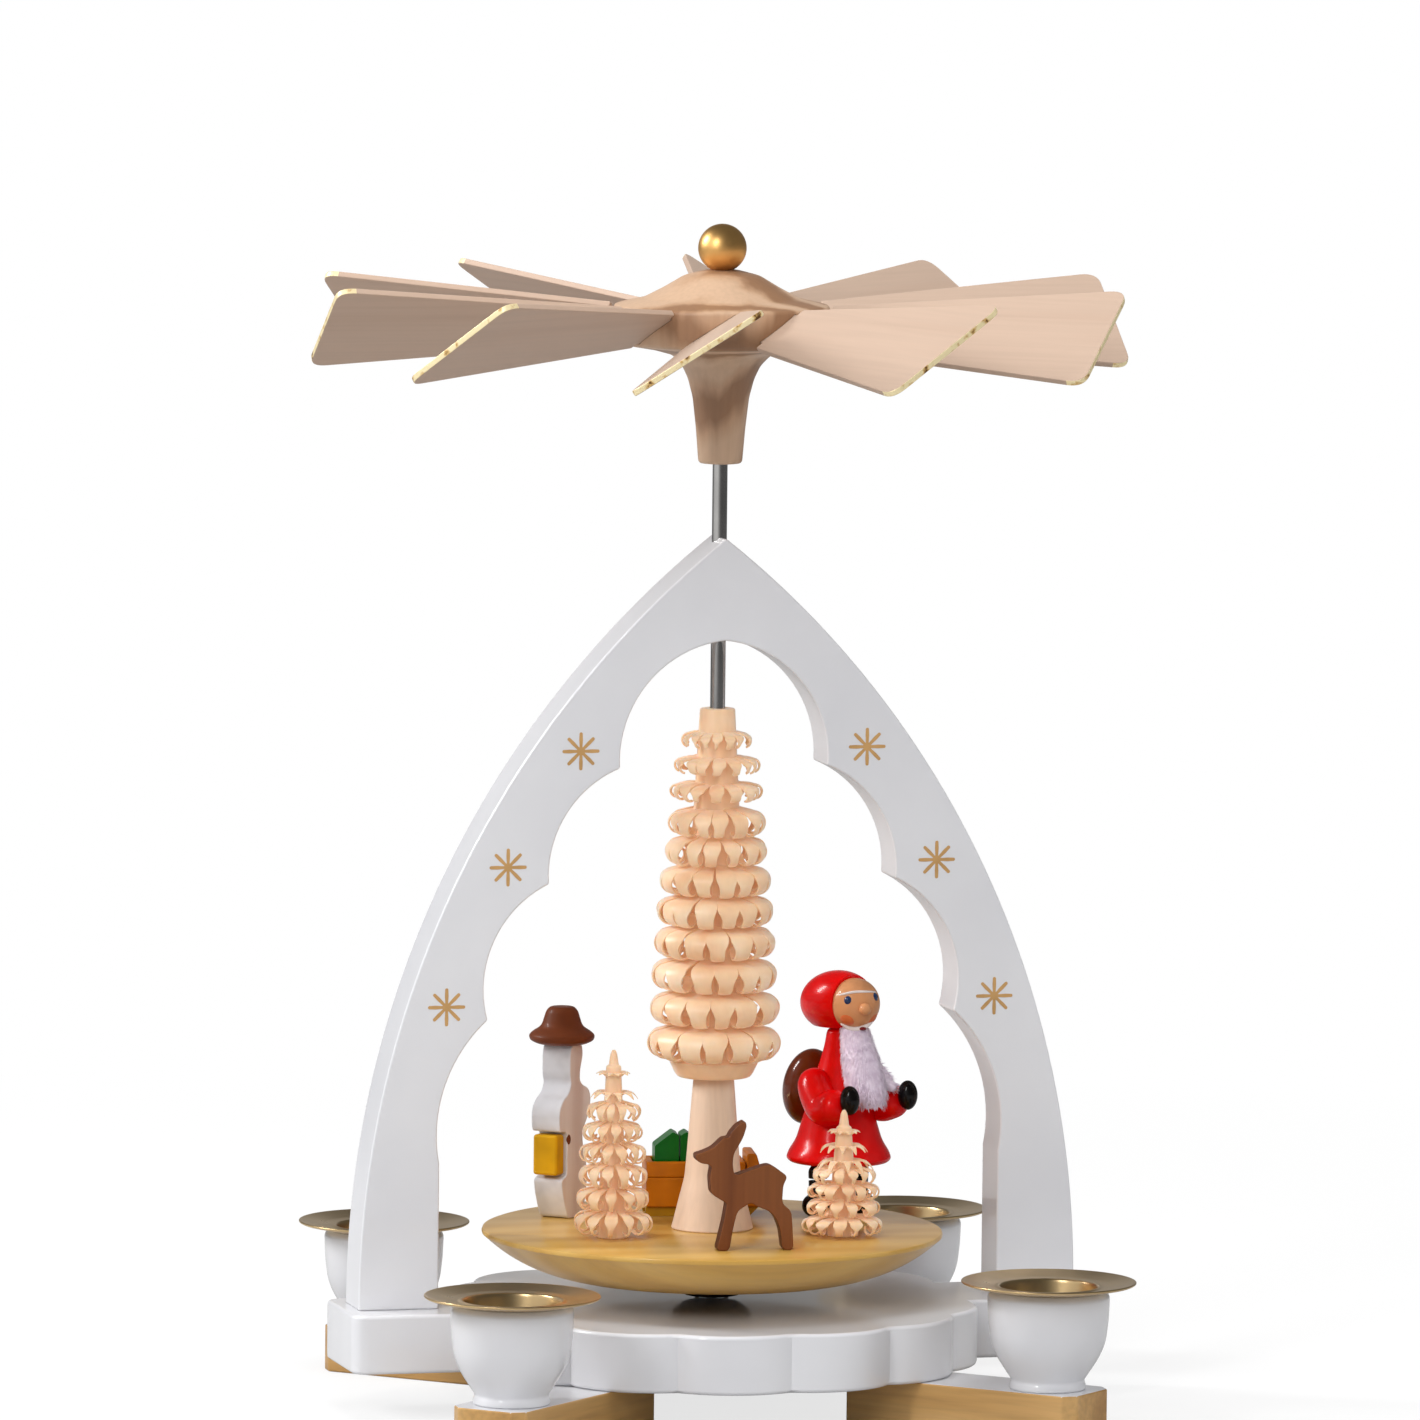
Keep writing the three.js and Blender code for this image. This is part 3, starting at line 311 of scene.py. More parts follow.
def whitewash():
    """Thin white paint that lets the pinkish grain through."""
    wood = Material("whitewash", srgb(222, 212, 208), 0.6)
    grain = wood.noise(160, along("Z", 0.07), detail=5, distortion=0.4)
    tones = [(0.3, srgb(214, 194, 184)), (0.5, srgb(232, 220, 213)), (0.75, srgb(244, 238, 234))]
    wood.color(wood.ramp(grain, tones))
    wood.bump(grain, 0.15, 0.0001)
    return wood.material


def plush():
    """Soft white pile with a faint lavender tone."""
    pile = Material("beard", srgb(226, 218, 232), 0.95, Sheen_Weight=0.6, Sheen_Roughness=0.5)
    clumps = pile.noise(700)
    pile.color(pile.ramp(clumps, [(0.3, srgb(212, 194, 214)), (0.65, srgb(238, 225, 240))]))
    pile.bump(clumps, 0.25, 0.0002)
    return pile.material


WHITE = white_paint()
PALE = bare_wood("pale_wood", srgb(192, 167, 148), srgb(185, 159, 140), "X", 0.5, 0.06, 0.91, True)
HUB = turned_wood()
TRUNK = bare_wood("trunk_wood", srgb(234, 208, 184), srgb(222, 192, 166), "Z", 0.55, 0.15, 0.9)
SHAVED = shaved_wood()
OCHRE = ochre_disc()
BRONZE = bronze_leg()
BRASS = metal("brass", srgb(226, 196, 146), 0.3, 900)
STEEL = metal("steel", srgb(196, 194, 192), 0.16)
GOLD = metal("gold", srgb(252, 200, 124), 0.4, 1400, 0.03)
GILT = gilt_edge()
PRINT = enamel("gold_print", srgb(204, 160, 104), 0.45)
DEER = bare_wood("deer_brown", srgb(130, 76, 40), srgb(108, 58, 30), "Z", 0.5, 0.25)
DEER_EDGE = bare_wood("deer_edge", srgb(98, 52, 28), srgb(76, 38, 20), "Z", 0.5, 0.25)
CHALK = enamel("chalk_white", srgb(226, 226, 230), 0.5, 0.0)
HAT = enamel("hat_brown", srgb(116, 58, 30), 0.45, 0.05)
WASH = whitewash()
RUNNER = enamel("runner_ochre", srgb(176, 128, 24), 0.4, 0.2)
YELLOW = enamel("yellow_paint", srgb(220, 164, 12), 0.35)
ORANGE = enamel("orange_paint", srgb(196, 112, 10), 0.4)
GREEN = enamel("green_paint", srgb(4, 100, 24), 0.3)
RED = enamel("red_paint", srgb(234, 5, 6))
# near-black paint for the boss under the disc
DARK_FOOT = enamel("dark_foot", srgb(30, 24, 20), 0.8, 0.0)
SKIN = enamel("skin_paint", srgb(214, 150, 102), 0.35, 0.2)
BEARD = plush()
SACK = enamel("sack_brown", srgb(104, 42, 10), 0.2, 0.25)
BLACK = enamel("black_paint", srgb(12, 9, 9), 0.15)
BLUSH = enamel("blush", srgb(216, 112, 62), 0.4, 0.2)
MOUTH = enamel("mouth_red", srgb(120, 24, 30), 0.4, 0.2)
EYE = enamel("eye_blue", srgb(30, 52, 92), 0.2, 0.6)
BROW = enamel("brow_white", srgb(236, 226, 222), 0.5, 0.1)


# Mesh tools

def new_object(name, build):
    """An object from a bmesh, which is used up."""
    mesh = bpy.data.meshes.new(name)
    build.to_mesh(mesh)
    build.free()
    made = bpy.data.objects.new(name, mesh)
    bpy.context.scene.collection.objects.link(made)
    return made


def new_piece(name, build, materials, body, matrix=Matrix(), sharp=35):
    """A piece from a bmesh in millimetres, which rides on a body. Edges over the sharp angle stay edges."""
    build.transform(TO_METRES)
    bmesh.ops.recalc_face_normals(build, faces=build.faces)
    piece = new_object(name, build)
    for material in materials:
        piece.data.materials.append(material)
    piece.data.shade_smooth()
    piece.data.set_sharp_from_angle(angle=math.radians(sharp))
    piece.matrix_world = matrix
    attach(piece, body)
    return piece


def stand_in(node, build, materials, matrix=Matrix(), sharp=35, kind="wood"):
    """The piece that replaces a CAD node, on its body."""
    piece = new_piece(f"{node}_{kind}", build, materials, BODY_OF[node], matrix, sharp)
    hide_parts(node)
    return piece


def rotation(degrees, axis="Z"):
    return Matrix.Rotation(math.radians(degrees), 4, axis)


def place(x, y, z=0.0, turn=0.0):
    """A matrix for a piece made round its own axis, in millimetres and degrees."""
    return Matrix.Translation(Vector((x, y, z)) * MM) @ rotation(turn)


def direction(spot):
    """The direction in degrees that a place lies in, seen from the middle."""
    return math.degrees(math.atan2(spot.y, spot.x))


def outward(bearing):
    """Unit vectors away from the axis and across that way, for a bearing in radians."""
    out = Vector((math.cos(bearing), math.sin(bearing), 0))
    return out, Vector((-out.y, out.x, 0))


def curve(start, corner, end, share):
    """A point of the curve from start to end that the corner draws towards itself."""
    return start.lerp(corner, share).lerp(corner.lerp(end, share), share)


def marked(build, rule):
    """Gives the second material to the faces that a rule picks by their normal and middle."""
    for face in build.faces:
        face.normal_update()
        face.material_index = int(rule(face.normal, face.calc_center_median()))
    return build


def bevelled(piece, width, segments=3, angle=40):
    bevel = piece.modifiers.new("edges", "BEVEL")
    bevel.width = width * MM
    bevel.segments = segments
    bevel.limit_method = "ANGLE"
    bevel.angle_limit = math.radians(angle)
    bevel.harden_normals = True
    return piece


def softened(profile, radius, steps=4, closed=False):
    """A polyline whose corners are rounded: each corner becomes a short curve."""
    count = len(profile)
    out = []
    for i, point in enumerate(profile):
        if not closed and i in (0, count - 1):
            out.append(tuple(point))
            continue
        here = Vector(point)
        before = Vector(profile[i - 1]) - here
        after = Vector(profile[(i + 1) % count]) - here
        reach = min(radius, before.length * 0.45, after.length * 0.45)
        start, end = here + before.normalized() * reach, here + after.normalized() * reach
        out += [tuple(curve(start, here, end, k / steps)) for k in range(steps + 1)]
    return out


def lathe(profile, sides=96):
    """A surface of revolution from (radius, height) pairs. A profile that starts and ends off the
    axis is joined into a ring."""
    build = bmesh.new()
    turns = [2 * math.pi * i / sides for i in range(sides)]
    rows = []
    for radius, height in profile:
        angles = turns if radius else [0]
        rows.append([build.verts.new((radius * math.cos(a), radius * math.sin(a), height)) for a in angles])
    ring = len(rows[0]) > 1 and len(rows[-1]) > 1
    for low, high in list(zip(rows, rows[1:])) + ([(rows[-1], rows[0])] if ring else []):
        for i in range(sides):
            j = (i + 1) % sides
            corners = [low[i % len(low)], low[j % len(low)], high[j % len(high)], high[i % len(high)]]
            corners = list(dict.fromkeys(corners))
            if len(corners) > 2:
                build.faces.new(corners)
    return build


def slab(outline, low, high):
    """A flat outline of (x, y) pairs raised between two heights."""
    return loft([[(x, y, z) for x, y in outline] for z in (low, high)])


def upright(outline, thickness):
    """An outline of (x, z) pairs, as thick as given and centred on y = 0."""
    build = slab(outline, -thickness / 2, thickness / 2)
    build.transform(rotation(90, "X"))
    return build


def loft(rings, build=None):
    """A skin over rings of points, with flat ends."""
    build = build or bmesh.new()
    rows = [[build.verts.new(p) for p in ring] for ring in rings]
    build.faces.new(list(reversed(rows[0])))
    build.faces.new(rows[-1])
    count = len(rows[0])
    for low, high in zip(rows, rows[1:]):
        for i in range(count):
            j = (i + 1) % count
            build.faces.new((low[i], low[j], high[j], high[i]))
    return build


def ball(radius, sides=48, stretch=(1, 1, 1), at=(0, 0, 0)):
    build = bmesh.new()
    bmesh.ops.create_uvsphere(build, u_segments=sides, v_segments=sides // 2, radius=radius)
    build.transform(Matrix.Translation(at) @ Matrix.Diagonal((*stretch, 1)))
    return build


def box(width, depth, height, at=(0, 0, 0), build=None, matrix=Matrix()):
    build = build or bmesh.new()
    size = Matrix.Diagonal((width, depth, height, 1))
    bmesh.ops.create_cube(build, size=1, matrix=matrix @ Matrix.Translation(at) @ size)
    return build


def tube(points, radii, sides=24, build=None):
    """A round limb along a smooth curve through points, with rounded ends."""
    fine = smooth_path(points, 8)
    lengths = [0.0]
    for a, b in zip(fine, fine[1:]):
        lengths.append(lengths[-1] + (b - a).length)
    total = lengths[-1]

    def width(share):
        position = share * (len(radii) - 1)
        k = min(int(position), len(radii) - 2)
        return radii[k] + (radii[k + 1] - radii[k]) * (position - k)

    rings = []
    side = Vector((0, 0, 1))
    for i, p in enumerate(fine):
        ahead = (fine[min(i + 1, len(fine) - 1)] - fine[max(i - 1, 0)]).normalized()
        across = ahead.cross(side)
        across = across.normalized() if across.length > 1e-3 else Vector((1, 0, 0))
        up = across.cross(ahead).normalized()
        radius = width(lengths[i] / total)
        ends = min(lengths[i], total - lengths[i])
        if ends < radius:
            radius *= math.sqrt(max(0.02, 1 - (1 - ends / radius) ** 2))
        angles = [2 * math.pi * k / sides for k in range(sides)]
        rings.append([p + across * radius * math.cos(a) + up * radius * math.sin(a) for a in angles])
    return loft(rings, build)


def smooth_path(points, steps):
    """Points of a Catmull-Rom curve through the given ones."""
    p = [Vector(q) for q in points]
    p = [p[0] * 2 - p[1]] + p + [p[-1] * 2 - p[-2]]
    out = []
    for i in range(1, len(p) - 2):
        for k in range(steps):
            t = k / steps
            a = p[i] * 2 + (p[i + 1] - p[i - 1]) * t
            b = (p[i - 1] * 2 - p[i] * 5 + p[i + 1] * 4 - p[i + 2]) * t * t
            c = (p[i] * 3 - p[i - 1] - p[i + 1] * 3 + p[i + 2]) * t ** 3
            out.append((a + b + c) / 2)
    out.append(p[-2])
    return out


def arc(start, end, radius, steps):
    """Points of an arc that bulges to the left of the way from start to end."""
    a, b = Vector(start), Vector(end)
    chord = b - a
    half = math.asin(min(1, chord.length / 2 / radius))
    ahead = chord.normalized()
    left = Vector((-ahead.y, ahead.x))
    depth = radius * math.cos(half)
    points = []
    for i in range(steps + 1):
        angle = half * (2 * i / steps - 1)
        points.append(tuple((a + b) / 2 + ahead * radius * math.sin(angle)
                            + left * (radius * math.cos(angle) - depth)))
    return points


# Stand

LEG_TOP = heights("leg_front_left")[1]
PLATE_TOP = heights("base_plate")[1]


def make_legs():
    inner, outer, half, chamfer = 41, 99.3, 9.5, 2.6
    outline = [(inner, -half), (outer - chamfer, -half), (outer, -half + chamfer),
               (outer, half - chamfer), (outer - chamfer, half), (inner, half)]
    for corner in CORNERS:
        build = marked(slab(outline, 0, LEG_TOP), lambda normal, spot: spot.z > LEG_TOP - 0.01)
        at = place(0, 0, 0, direction(middle(f"leg_{corner}")))
        bevelled(stand_in(f"leg_{corner}", build, [BRONZE, WHITE], at), 0.45)


def plate_outline():
    crease_radius, rise, lobes, turned = 59, 4.4, 6, math.radians(3.2)
    tab_half, tab_reach, corner, corner_steps = 15, 87, 3.6, 6
    tab_angle = math.asin(tab_half / crease_radius)
    step = (math.pi - 2 * tab_angle) / lobes
    half_chord = crease_radius * math.sin(step / 2)
    radius = (half_chord ** 2 + rise ** 2) / (2 * rise)

    def crease(angle):
        return (crease_radius * math.cos(angle), crease_radius * math.sin(angle))

    side = []
    for i in range(lobes):
        start = tab_angle + i * step + (turned if i else 0)
        end = tab_angle + (i + 1) * step + (turned if i < lobes - 1 else 0)
        side += list(reversed(arc(crease(end), crease(start), radius, 14)))[1 if i else 0:]
    rounding = []
    for k in range(corner_steps + 1):
        a = math.radians(90 * k / corner_steps)
        x, y = tab_reach - corner + corner * math.cos(a), tab_half - corner + corner * math.sin(a)
        rounding.append((x, y))
    half = rounding + side + [(-x, y) for x, y in reversed(rounding)]
    return half + [(-x, -y) for x, y in half]


def make_plate():
    build = slab(plate_outline(), LEG_TOP, PLATE_TOP)
    bevelled(stand_in("base_plate", build, [WHITE]), 0.9, 4, 50)


def arch_sides():
    """The right outer edge from foot to point, and the right inner edge from crown to foot."""
    foot, rise, springing, leg, crown = 84, 174.1, 2, 18.5, 23.2
    drops, bands, radii = (51.9, 77.9, 108.6, 141.1), (23.7, 22.1, 20, 16.3), (27.1, 25.8, 26.1, 34.8)
    centre = ((rise - springing) ** 2 - foot ** 2) / (2 * foot)
    radius = centre + foot
    top = PLATE_TOP + rise
    spring_z = PLATE_TOP + springing
    outer = [(foot, PLATE_TOP)] + list(reversed(arc((0, top), (foot, spring_z), radius, 48)))
    turns = [(0, top - crown)]
    for drop, band in zip(drops, bands):
        z = top - drop
        turns.append((math.sqrt(radius ** 2 - (z - spring_z) ** 2) - centre - band, z))
    inner = []
    for i, lobe in enumerate(radii):
        inner += arc(turns[i], turns[i + 1], lobe, 20)[1 if i else 0:]
    inner += [(foot - leg, turns[-1][1] - 1), (foot - leg, PLATE_TOP)]
    return outer, inner


def make_arch():
    outer, inner = arch_sides()
    outline = outer + [(-x, z) for x, z in reversed(outer)][1:]
    outline += [(-x, z) for x, z in reversed(inner)] + inner[1:]
    low, high = box_mm("arch")
    build = upright(outline, high.y - low.y)
    bevelled(stand_in("arch", build, [WHITE]), 0.5, 3, 50)


def make_stars():
    """Stars printed in gold on the front of the arch: tapered rays round a dot."""
    ray, width, thickness, rays, dot_radius = 4.3, 0.85, 0.06, 8, 1.0
    places = ((33.5, 150.3), (50.2, 124.2), (64.2, 92.7))
    front = box_mm("arch")[0].y - thickness / 2
    deep = Vector((0, thickness / 2, 0))
    build = bmesh.new()
    for centre in [Vector((side * x, front, z)) for x, z in places for side in (-1, 1)]:
        for k in range(rays):
            angle = math.radians(360 * k / rays)
            across = Vector((-math.sin(angle), 0, math.cos(angle)))
            way = Vector((math.cos(angle), 0, math.sin(angle)))
            rings = []
            for reach, share in ((0.9, 0.75), (ray * 0.6, 1.0), (ray * 0.95, 0.85), (ray, 0.4)):
                mid = centre + way * reach
                half = across * width * share / 2
                rings.append([mid - half - deep, mid + half - deep, mid + half + deep, mid - half + deep])
            loft(rings, build)
        dot = Matrix.Translation(centre - 2 * deep) @ rotation(90, "X")
        bmesh.ops.create_circle(build, cap_ends=True, radius=dot_radius, segments=16, matrix=dot)
    new_piece("arch_stars", build, [PRINT], "stand")


def make_cups():
    rim, lip, foot, seat = 13.8, 1.2, LEG_TOP, heights("candle_cup_front_left")[1]
    well_floor = seat - 0.55 * (seat - foot)
    outside = [(0, foot), (8.7, foot), (8.6, foot + 1.1), (8.2, foot + 2.1), (9.6, foot + 4.2),
               (11.4, foot + 7), (12.5, foot + 9.4), (13.1, foot + 11.6), (13.6, foot + 16)]
    inside = [(rim, seat - lip), (rim - lip, seat), (11.7, seat), (9.3, well_floor), (0, well_floor)]
    for corner in CORNERS:
        spot = middle(f"candle_cup_{corner}")
        build = lathe(softened(outside + inside, 1.6))
        stand_in(f"candle_cup_{corner}", build, [WHITE], place(spot.x, spot.y))


def make_trays():
    low, high = heights("drip_tray_front_left")
    rim, seat, wall = half_width("drip_tray_front_left"), high - 2, 0.6
    outside = [(0, low), (9, low), (11.4, seat), (13.2, seat + 0.02), (rim - 0.5, high - 0.75)]
    lip = [(rim, high - 0.45), (rim, high - 0.1), (rim - 0.4, high)]
    inside = [(rim - 1, high - 0.15), (14.4, seat + 0.85), (12.2, seat + 0.62), (11.5, seat + 0.95),
              (11.0, seat + 0.75), (10.8, seat + 0.2), (8.4, low + wall), (0, low + wall)]
    for corner in CORNERS:
        spot = middle(f"drip_tray_{corner}")
        build = lathe(softened(outside + lip + inside, 0.5, 3), 128)
        stand_in(f"drip_tray_{corner}", build, [BRASS], place(spot.x, spot.y), kind="brass")


def make_bearings():
    low, high = heights("bearing_cup")
    profile = softened([(0, low), (4.2, low), (4.2, high), (2.6, high), (0, high - 2.4)], 0.3, 3)
    stand_in("bearing_cup", lathe(profile, 48), [BRASS], kind="brass")
    low, high = heights("guide_bush")
    profile = softened([(BORE, low), (3.1, low), (3.1, high), (BORE, high)], 0.2, 3, True)
    stand_in("guide_bush", lathe(profile, 48), [BRASS], kind="brass")


# Rotor

DISC_TOP = heights("turntable")[1]
DISC_RADIUS = half_width("turntable")


def make_spindle():
    low, high = heights("spindle")
    rod, point = 1.7, 3
    profile = softened([(0, low), (rod, low + point), (rod, high), (0, high)], 0.25, 3)
    stand_in("spindle", lathe(profile, 48), [STEEL], kind="steel")


def make_turntable():
    low = heights("turntable")[0]
    boss, deep, bowl = 9, 4.2, 24.5
    under, lip, flat = low + deep, DISC_TOP - 1.2, DISC_RADIUS - bowl
    radius = (bowl ** 2 + (lip - under) ** 2) / (2 * (lip - under))
    foot = [(BORE, low), (boss * 0.7, low), (boss, low + deep / 2), (boss, under), (flat, under)]
    side = list(reversed(arc((DISC_RADIUS - 0.5, lip - 0.3), (flat, under), radius, 18)))
    rim = [(DISC_RADIUS - 0.1, lip), (DISC_RADIUS, lip + 0.4), (DISC_RADIUS - 0.2, DISC_TOP - 0.25),
           (DISC_RADIUS - 0.9, DISC_TOP)]
    profile = [(BORE, low)] + softened(foot, 0.8)[1:-1] + side + rim + [(BORE, DISC_TOP)]
    # the boss and the underside below the bowl take the second, near-black material
    build = marked(lathe(profile, 192), lambda normal, spot: spot.z < under - 0.1)
    stand_in("turntable", build, [OCHRE, DARK_FOOT])


def make_trunk():
    low, high = heights("tree_trunk")
    foot = half_width("tree_trunk")
    profile = [(BORE, low), (foot, low), (foot * 0.97, low + 1), (foot * 0.68, low + 12), (4.6, high),
               (BORE, high)]
    stand_in("tree_trunk", lathe(softened(profile, 1.5, 6, True)), [TRUNK])


def shaving(build, bearing, core, reach, height, roll, end, pitch, thickness, wild):
    """One curled shaving. It leaves the core under the tier above, flares out beside its neighbours,
    runs over the top of its roll and winds down and in as far as its end, in degrees under level.
    Below the top it narrows, which opens a slit to the next one. Wild is how far it strays from the
    others, from 0 to 1."""
    steps, start = 24, 62
    reach *= random.uniform(0.975 - 0.08 * wild, 1.0)
    roll *= random.uniform(0.93 - 0.14 * wild, 1.02)
    slit = random.uniform(0.2, 0.42 + 0.25 * wild)
    lean = random.uniform(-0.04, 0.04) * (1 + 3 * wild)
    centre = Vector((reach - roll, height))
    path = [(Vector((core - 0.3, height + 1.3 * roll)), 0),
            (Vector((max(core + 0.1, reach - 1.75 * roll), height + 1.2 * roll)), 0),
            (Vector((max(core + 0.3, reach - 1.1 * roll), height + 1.04 * roll)), 0)]
    for i in range(steps + 1):
        share = i / steps
        angle = start - (start + end) * share
        radius = roll * (1 - 0.5 * share ** 1.4 * min(1, end / 200))
        narrowing = min(1, max(0, (44 - angle) / 56))
        around = outward(math.radians(angle))[0].xy
        path.append((centre + around * radius, narrowing * narrowing * (3 - 2 * narrowing)))
    rings = []
    for i, (point, narrowing) in enumerate(path):
        before, after = path[max(0, i - 1)][0], path[min(len(path) - 1, i + 1)][0]
        ahead = (after - before).normalized()
        inward = Vector((ahead.y, -ahead.x))
        share = i / (len(path) - 1)
        out, side = outward(bearing + lean * share)
        half = point.x * math.tan(pitch / 2) * (1.03 - 0.3 * wild * min(1, i / 3) - slit * narrowing)
        if share > 0.9:
            half *= 1 - 0.5 * ((share - 0.9) / 0.1) ** 2
        ring = []
        for across, layer in ((1, 1), (0.5, 1), (0, 1), (-0.5, 1), (-1, 1), (-1, -1), (0, -1), (1, -1)):
            crown = 0.16 * (1 - across * across)
            flat = point + inward * (-crown - layer * thickness / 2)
            ring.append(out * flat.x + side * half * across + Vector((0, 0, flat.y)))
        rings.append(ring)
    loft(rings, build)


def spike(build, bearing, core, reach, height, width, droop):
    """A short stiff shaving near the tip, which bends outwards and a little down."""
    out, side = outward(bearing)
    rings = []
    for share in [k / 8 for k in range(9)]:
        r = core * 0.8 + (reach - core * 0.8) * share
        z = height - 0.5 + 1.2 * math.sin(math.pi * 0.7 * share) - droop * share ** 3
        half = width * (0.75 + 0.5 * math.sin(math.pi * share) - 0.55 * share ** 2) / 2
        centre = out * r + Vector((0, 0, z))
        up = Vector((0, 0, 0.16 - 0.06 * share))
        rings.append([centre + side * half + up, centre + up * 1.3, centre - side * half + up,
                      centre - side * half - up, centre + side * half - up])
    loft(rings, build)


def spread_tiers(top, bottom, count, top_reach, bottom_reach):
    """The tiers of the frame's trees: outer radius, middle height and roll radius, from the top down."""
    growth, gap, spread = 0.45 / count / 2, 0.35, 0.62

    def share(i):
        return (i + growth * i * i) / (count + growth * count * count)

    tiers = []
    for i in range(count):
        upper = top - (top - bottom) * share(i)
        lower = top - (top - bottom) * share(i + 1)
        reach = top_reach + (bottom_reach - top_reach) * (i / (count - 1)) ** spread
        tiers.append((reach, (upper + lower) / 2, (upper - lower) / 2 - gap / 2))
    return tiers


def make_crown():
    low, high = heights("tree_crown")
    curls, skirt_top, core_high, core_low = 15, low + 3.4, 4.0, 8.2
    ends, usual_end = (62, 78, 95, 150), 205
    wilds, usual_wild, flat_tiers = (0.8, 0.8, 0.8, 0.6, 0.6), 0.2, 3
    pitch = 2 * math.pi / curls
    profile = [(BORE, low), (core_low, low), (8.9, low + 0.9), (10.1, skirt_top), (10.1, skirt_top + 0.4),
               (core_low, skirt_top + 1.6), (core_high, high), (BORE, high)]
    build = lathe(softened(profile, 0.5, 3), 90)
    for tier, (reach, height, roll) in enumerate(spread_tiers(high - 5.4, skirt_top, 11, 8, 15.45)):
        phase = random.random()
        rise = (height + roll - skirt_top) / (high - skirt_top)
        core = core_low + (core_high - core_low) * rise
        wild = wilds[tier] if tier < len(wilds) else usual_wild
        curl = (core, reach, height, 0.96 * roll)
        if tier < flat_tiers:
            curl = (core - 0.2, reach, height + 0.3 * roll, 0.62 * roll)
        for i in range(curls):
            bearing = pitch * (i + phase + random.uniform(-0.08, 0.08))
            end = (ends[tier] if tier < len(ends) else usual_end) + random.uniform(-15, 15)
            shaving(build, bearing, *curl, end, pitch, 0.34, wild)
    stand_in("tree_crown", build, [SHAVED], sharp=50, kind="shavings")


def make_small_tree(node, tier_count, spiky, tip_length):
    low, high = heights(node)
    spot = middle(node)
    height = high - low
    curl_top = height - tip_length
    core_high, core_low = 1.7, 3.6

    def core_at(z):
        return core_high + (core_low - core_high) * (1 - z / curl_top)

    profile = [(0, 0), (core_low, 0), (core_at(curl_top * 0.6), curl_top * 0.6), (core_high, curl_top),
               (1.15, curl_top + 0.3), (0.75, height - 0.8), (0.3, height), (0, height)]
    build = lathe(softened(profile, 0.5, 3), 36)
    tiers = spread_tiers(curl_top, 0.3, tier_count, 3.9, half_width(node) * 0.95)
    for tier, (reach, z, roll) in enumerate(tiers):
        curls = 10 if tier < spiky else 13
        phase = random.random()
        for i in range(curls):
            bearing = 2 * math.pi * (i + phase + random.uniform(-0.1, 0.1)) / curls
            if tier < spiky:
                droop = 0.2 + 1.3 * tier * random.uniform(0.8, 1.2)
                spike(build, bearing, core_at(z), reach * random.uniform(0.92, 1.06), z, 1.6, droop)
                continue
            end = (100 if tier == spiky else 190) + random.uniform(-60, 30)
            core = min(core_at(z), reach - 1.9 * roll)
            tall = roll * random.uniform(0.88, 1.04)
            pitch = 2 * math.pi / curls * random.uniform(0.86, 1.04)
            shaving(build, bearing, core, reach, z, tall, end, pitch, 0.26, 0.9)
    stand_in(node, build, [SHAVED], place(spot.x, spot.y, low), 50, kind="shavings")


# Wheel

BLADES = [n for n in sorted(frame["nodes"]) if n.startswith("wing_blade")]
BLADE_PITCH = 360 / len(BLADES)
BLADE_TILT = 33
BLADE_THICKNESS = 1.4
FLANGE_TOP = heights("wing_hub")[1] - 8
FLANGE_LOW = FLANGE_TOP - 8.6
FLANGE_RADIUS = half_width("wing_hub")
BLADE_Z = (FLANGE_TOP + FLANGE_LOW) / 2
TONGUE_END = FLANGE_RADIUS - 5.5
TONGUE_HALF = 5.5
SLOT_PLAY = 0.2


def on_wheel(bearing):
    """The matrix of a blade, which is made flat along +X, in millimetres and degrees."""
    return Matrix.Translation((0, 0, BLADE_Z)) @ rotation(bearing) @ rotation(BLADE_TILT, "X")


def make_hub():
    low, high = heights("wing_hub")
    socket_top, slot_end, deeper = low + 30.3, FLANGE_RADIUS + 3, 0.3
    profile = [(0, socket_top), (BORE, socket_top), (BORE, low), (4.95, low), (5.6, low + 8), (6.4, low + 15),
               (7.5, low + 19.2), (8.9, low + 22.2), (11.2, low + 24.6), (16, low + 25.9),
               (FLANGE_RADIUS, FLANGE_LOW), (FLANGE_RADIUS, FLANGE_TOP), (17.7, FLANGE_TOP + 1.6),
               (13.1, FLANGE_TOP + 4), (8.6, FLANGE_TOP + 6.7), (3.6, high), (0, high)]
    hub = stand_in("wing_hub", lathe(softened(profile, 0.9), 144), [HUB])
    slots = bmesh.new()
    for i in range(len(BLADES)):
        box(slot_end - TONGUE_END, 2 * TONGUE_HALF + SLOT_PLAY, BLADE_THICKNESS + SLOT_PLAY,
            ((slot_end + TONGUE_END) / 2 - deeper, 0, 0), slots, on_wheel(BLADE_PITCH * i))
    slots.transform(TO_METRES)
    cutter = new_object("slots", slots)
    cut = hub.modifiers.new("slots", "BOOLEAN")
    cut.object = cutter
    cut.solver = "EXACT"
    made = bpy.data.meshes.new_from_object(hub.evaluated_get(bpy.context.evaluated_depsgraph_get()))
    hub.modifiers.clear()
    hub.data = made
    made.set_sharp_from_angle(angle=math.radians(35))
    bpy.data.objects.remove(cutter)


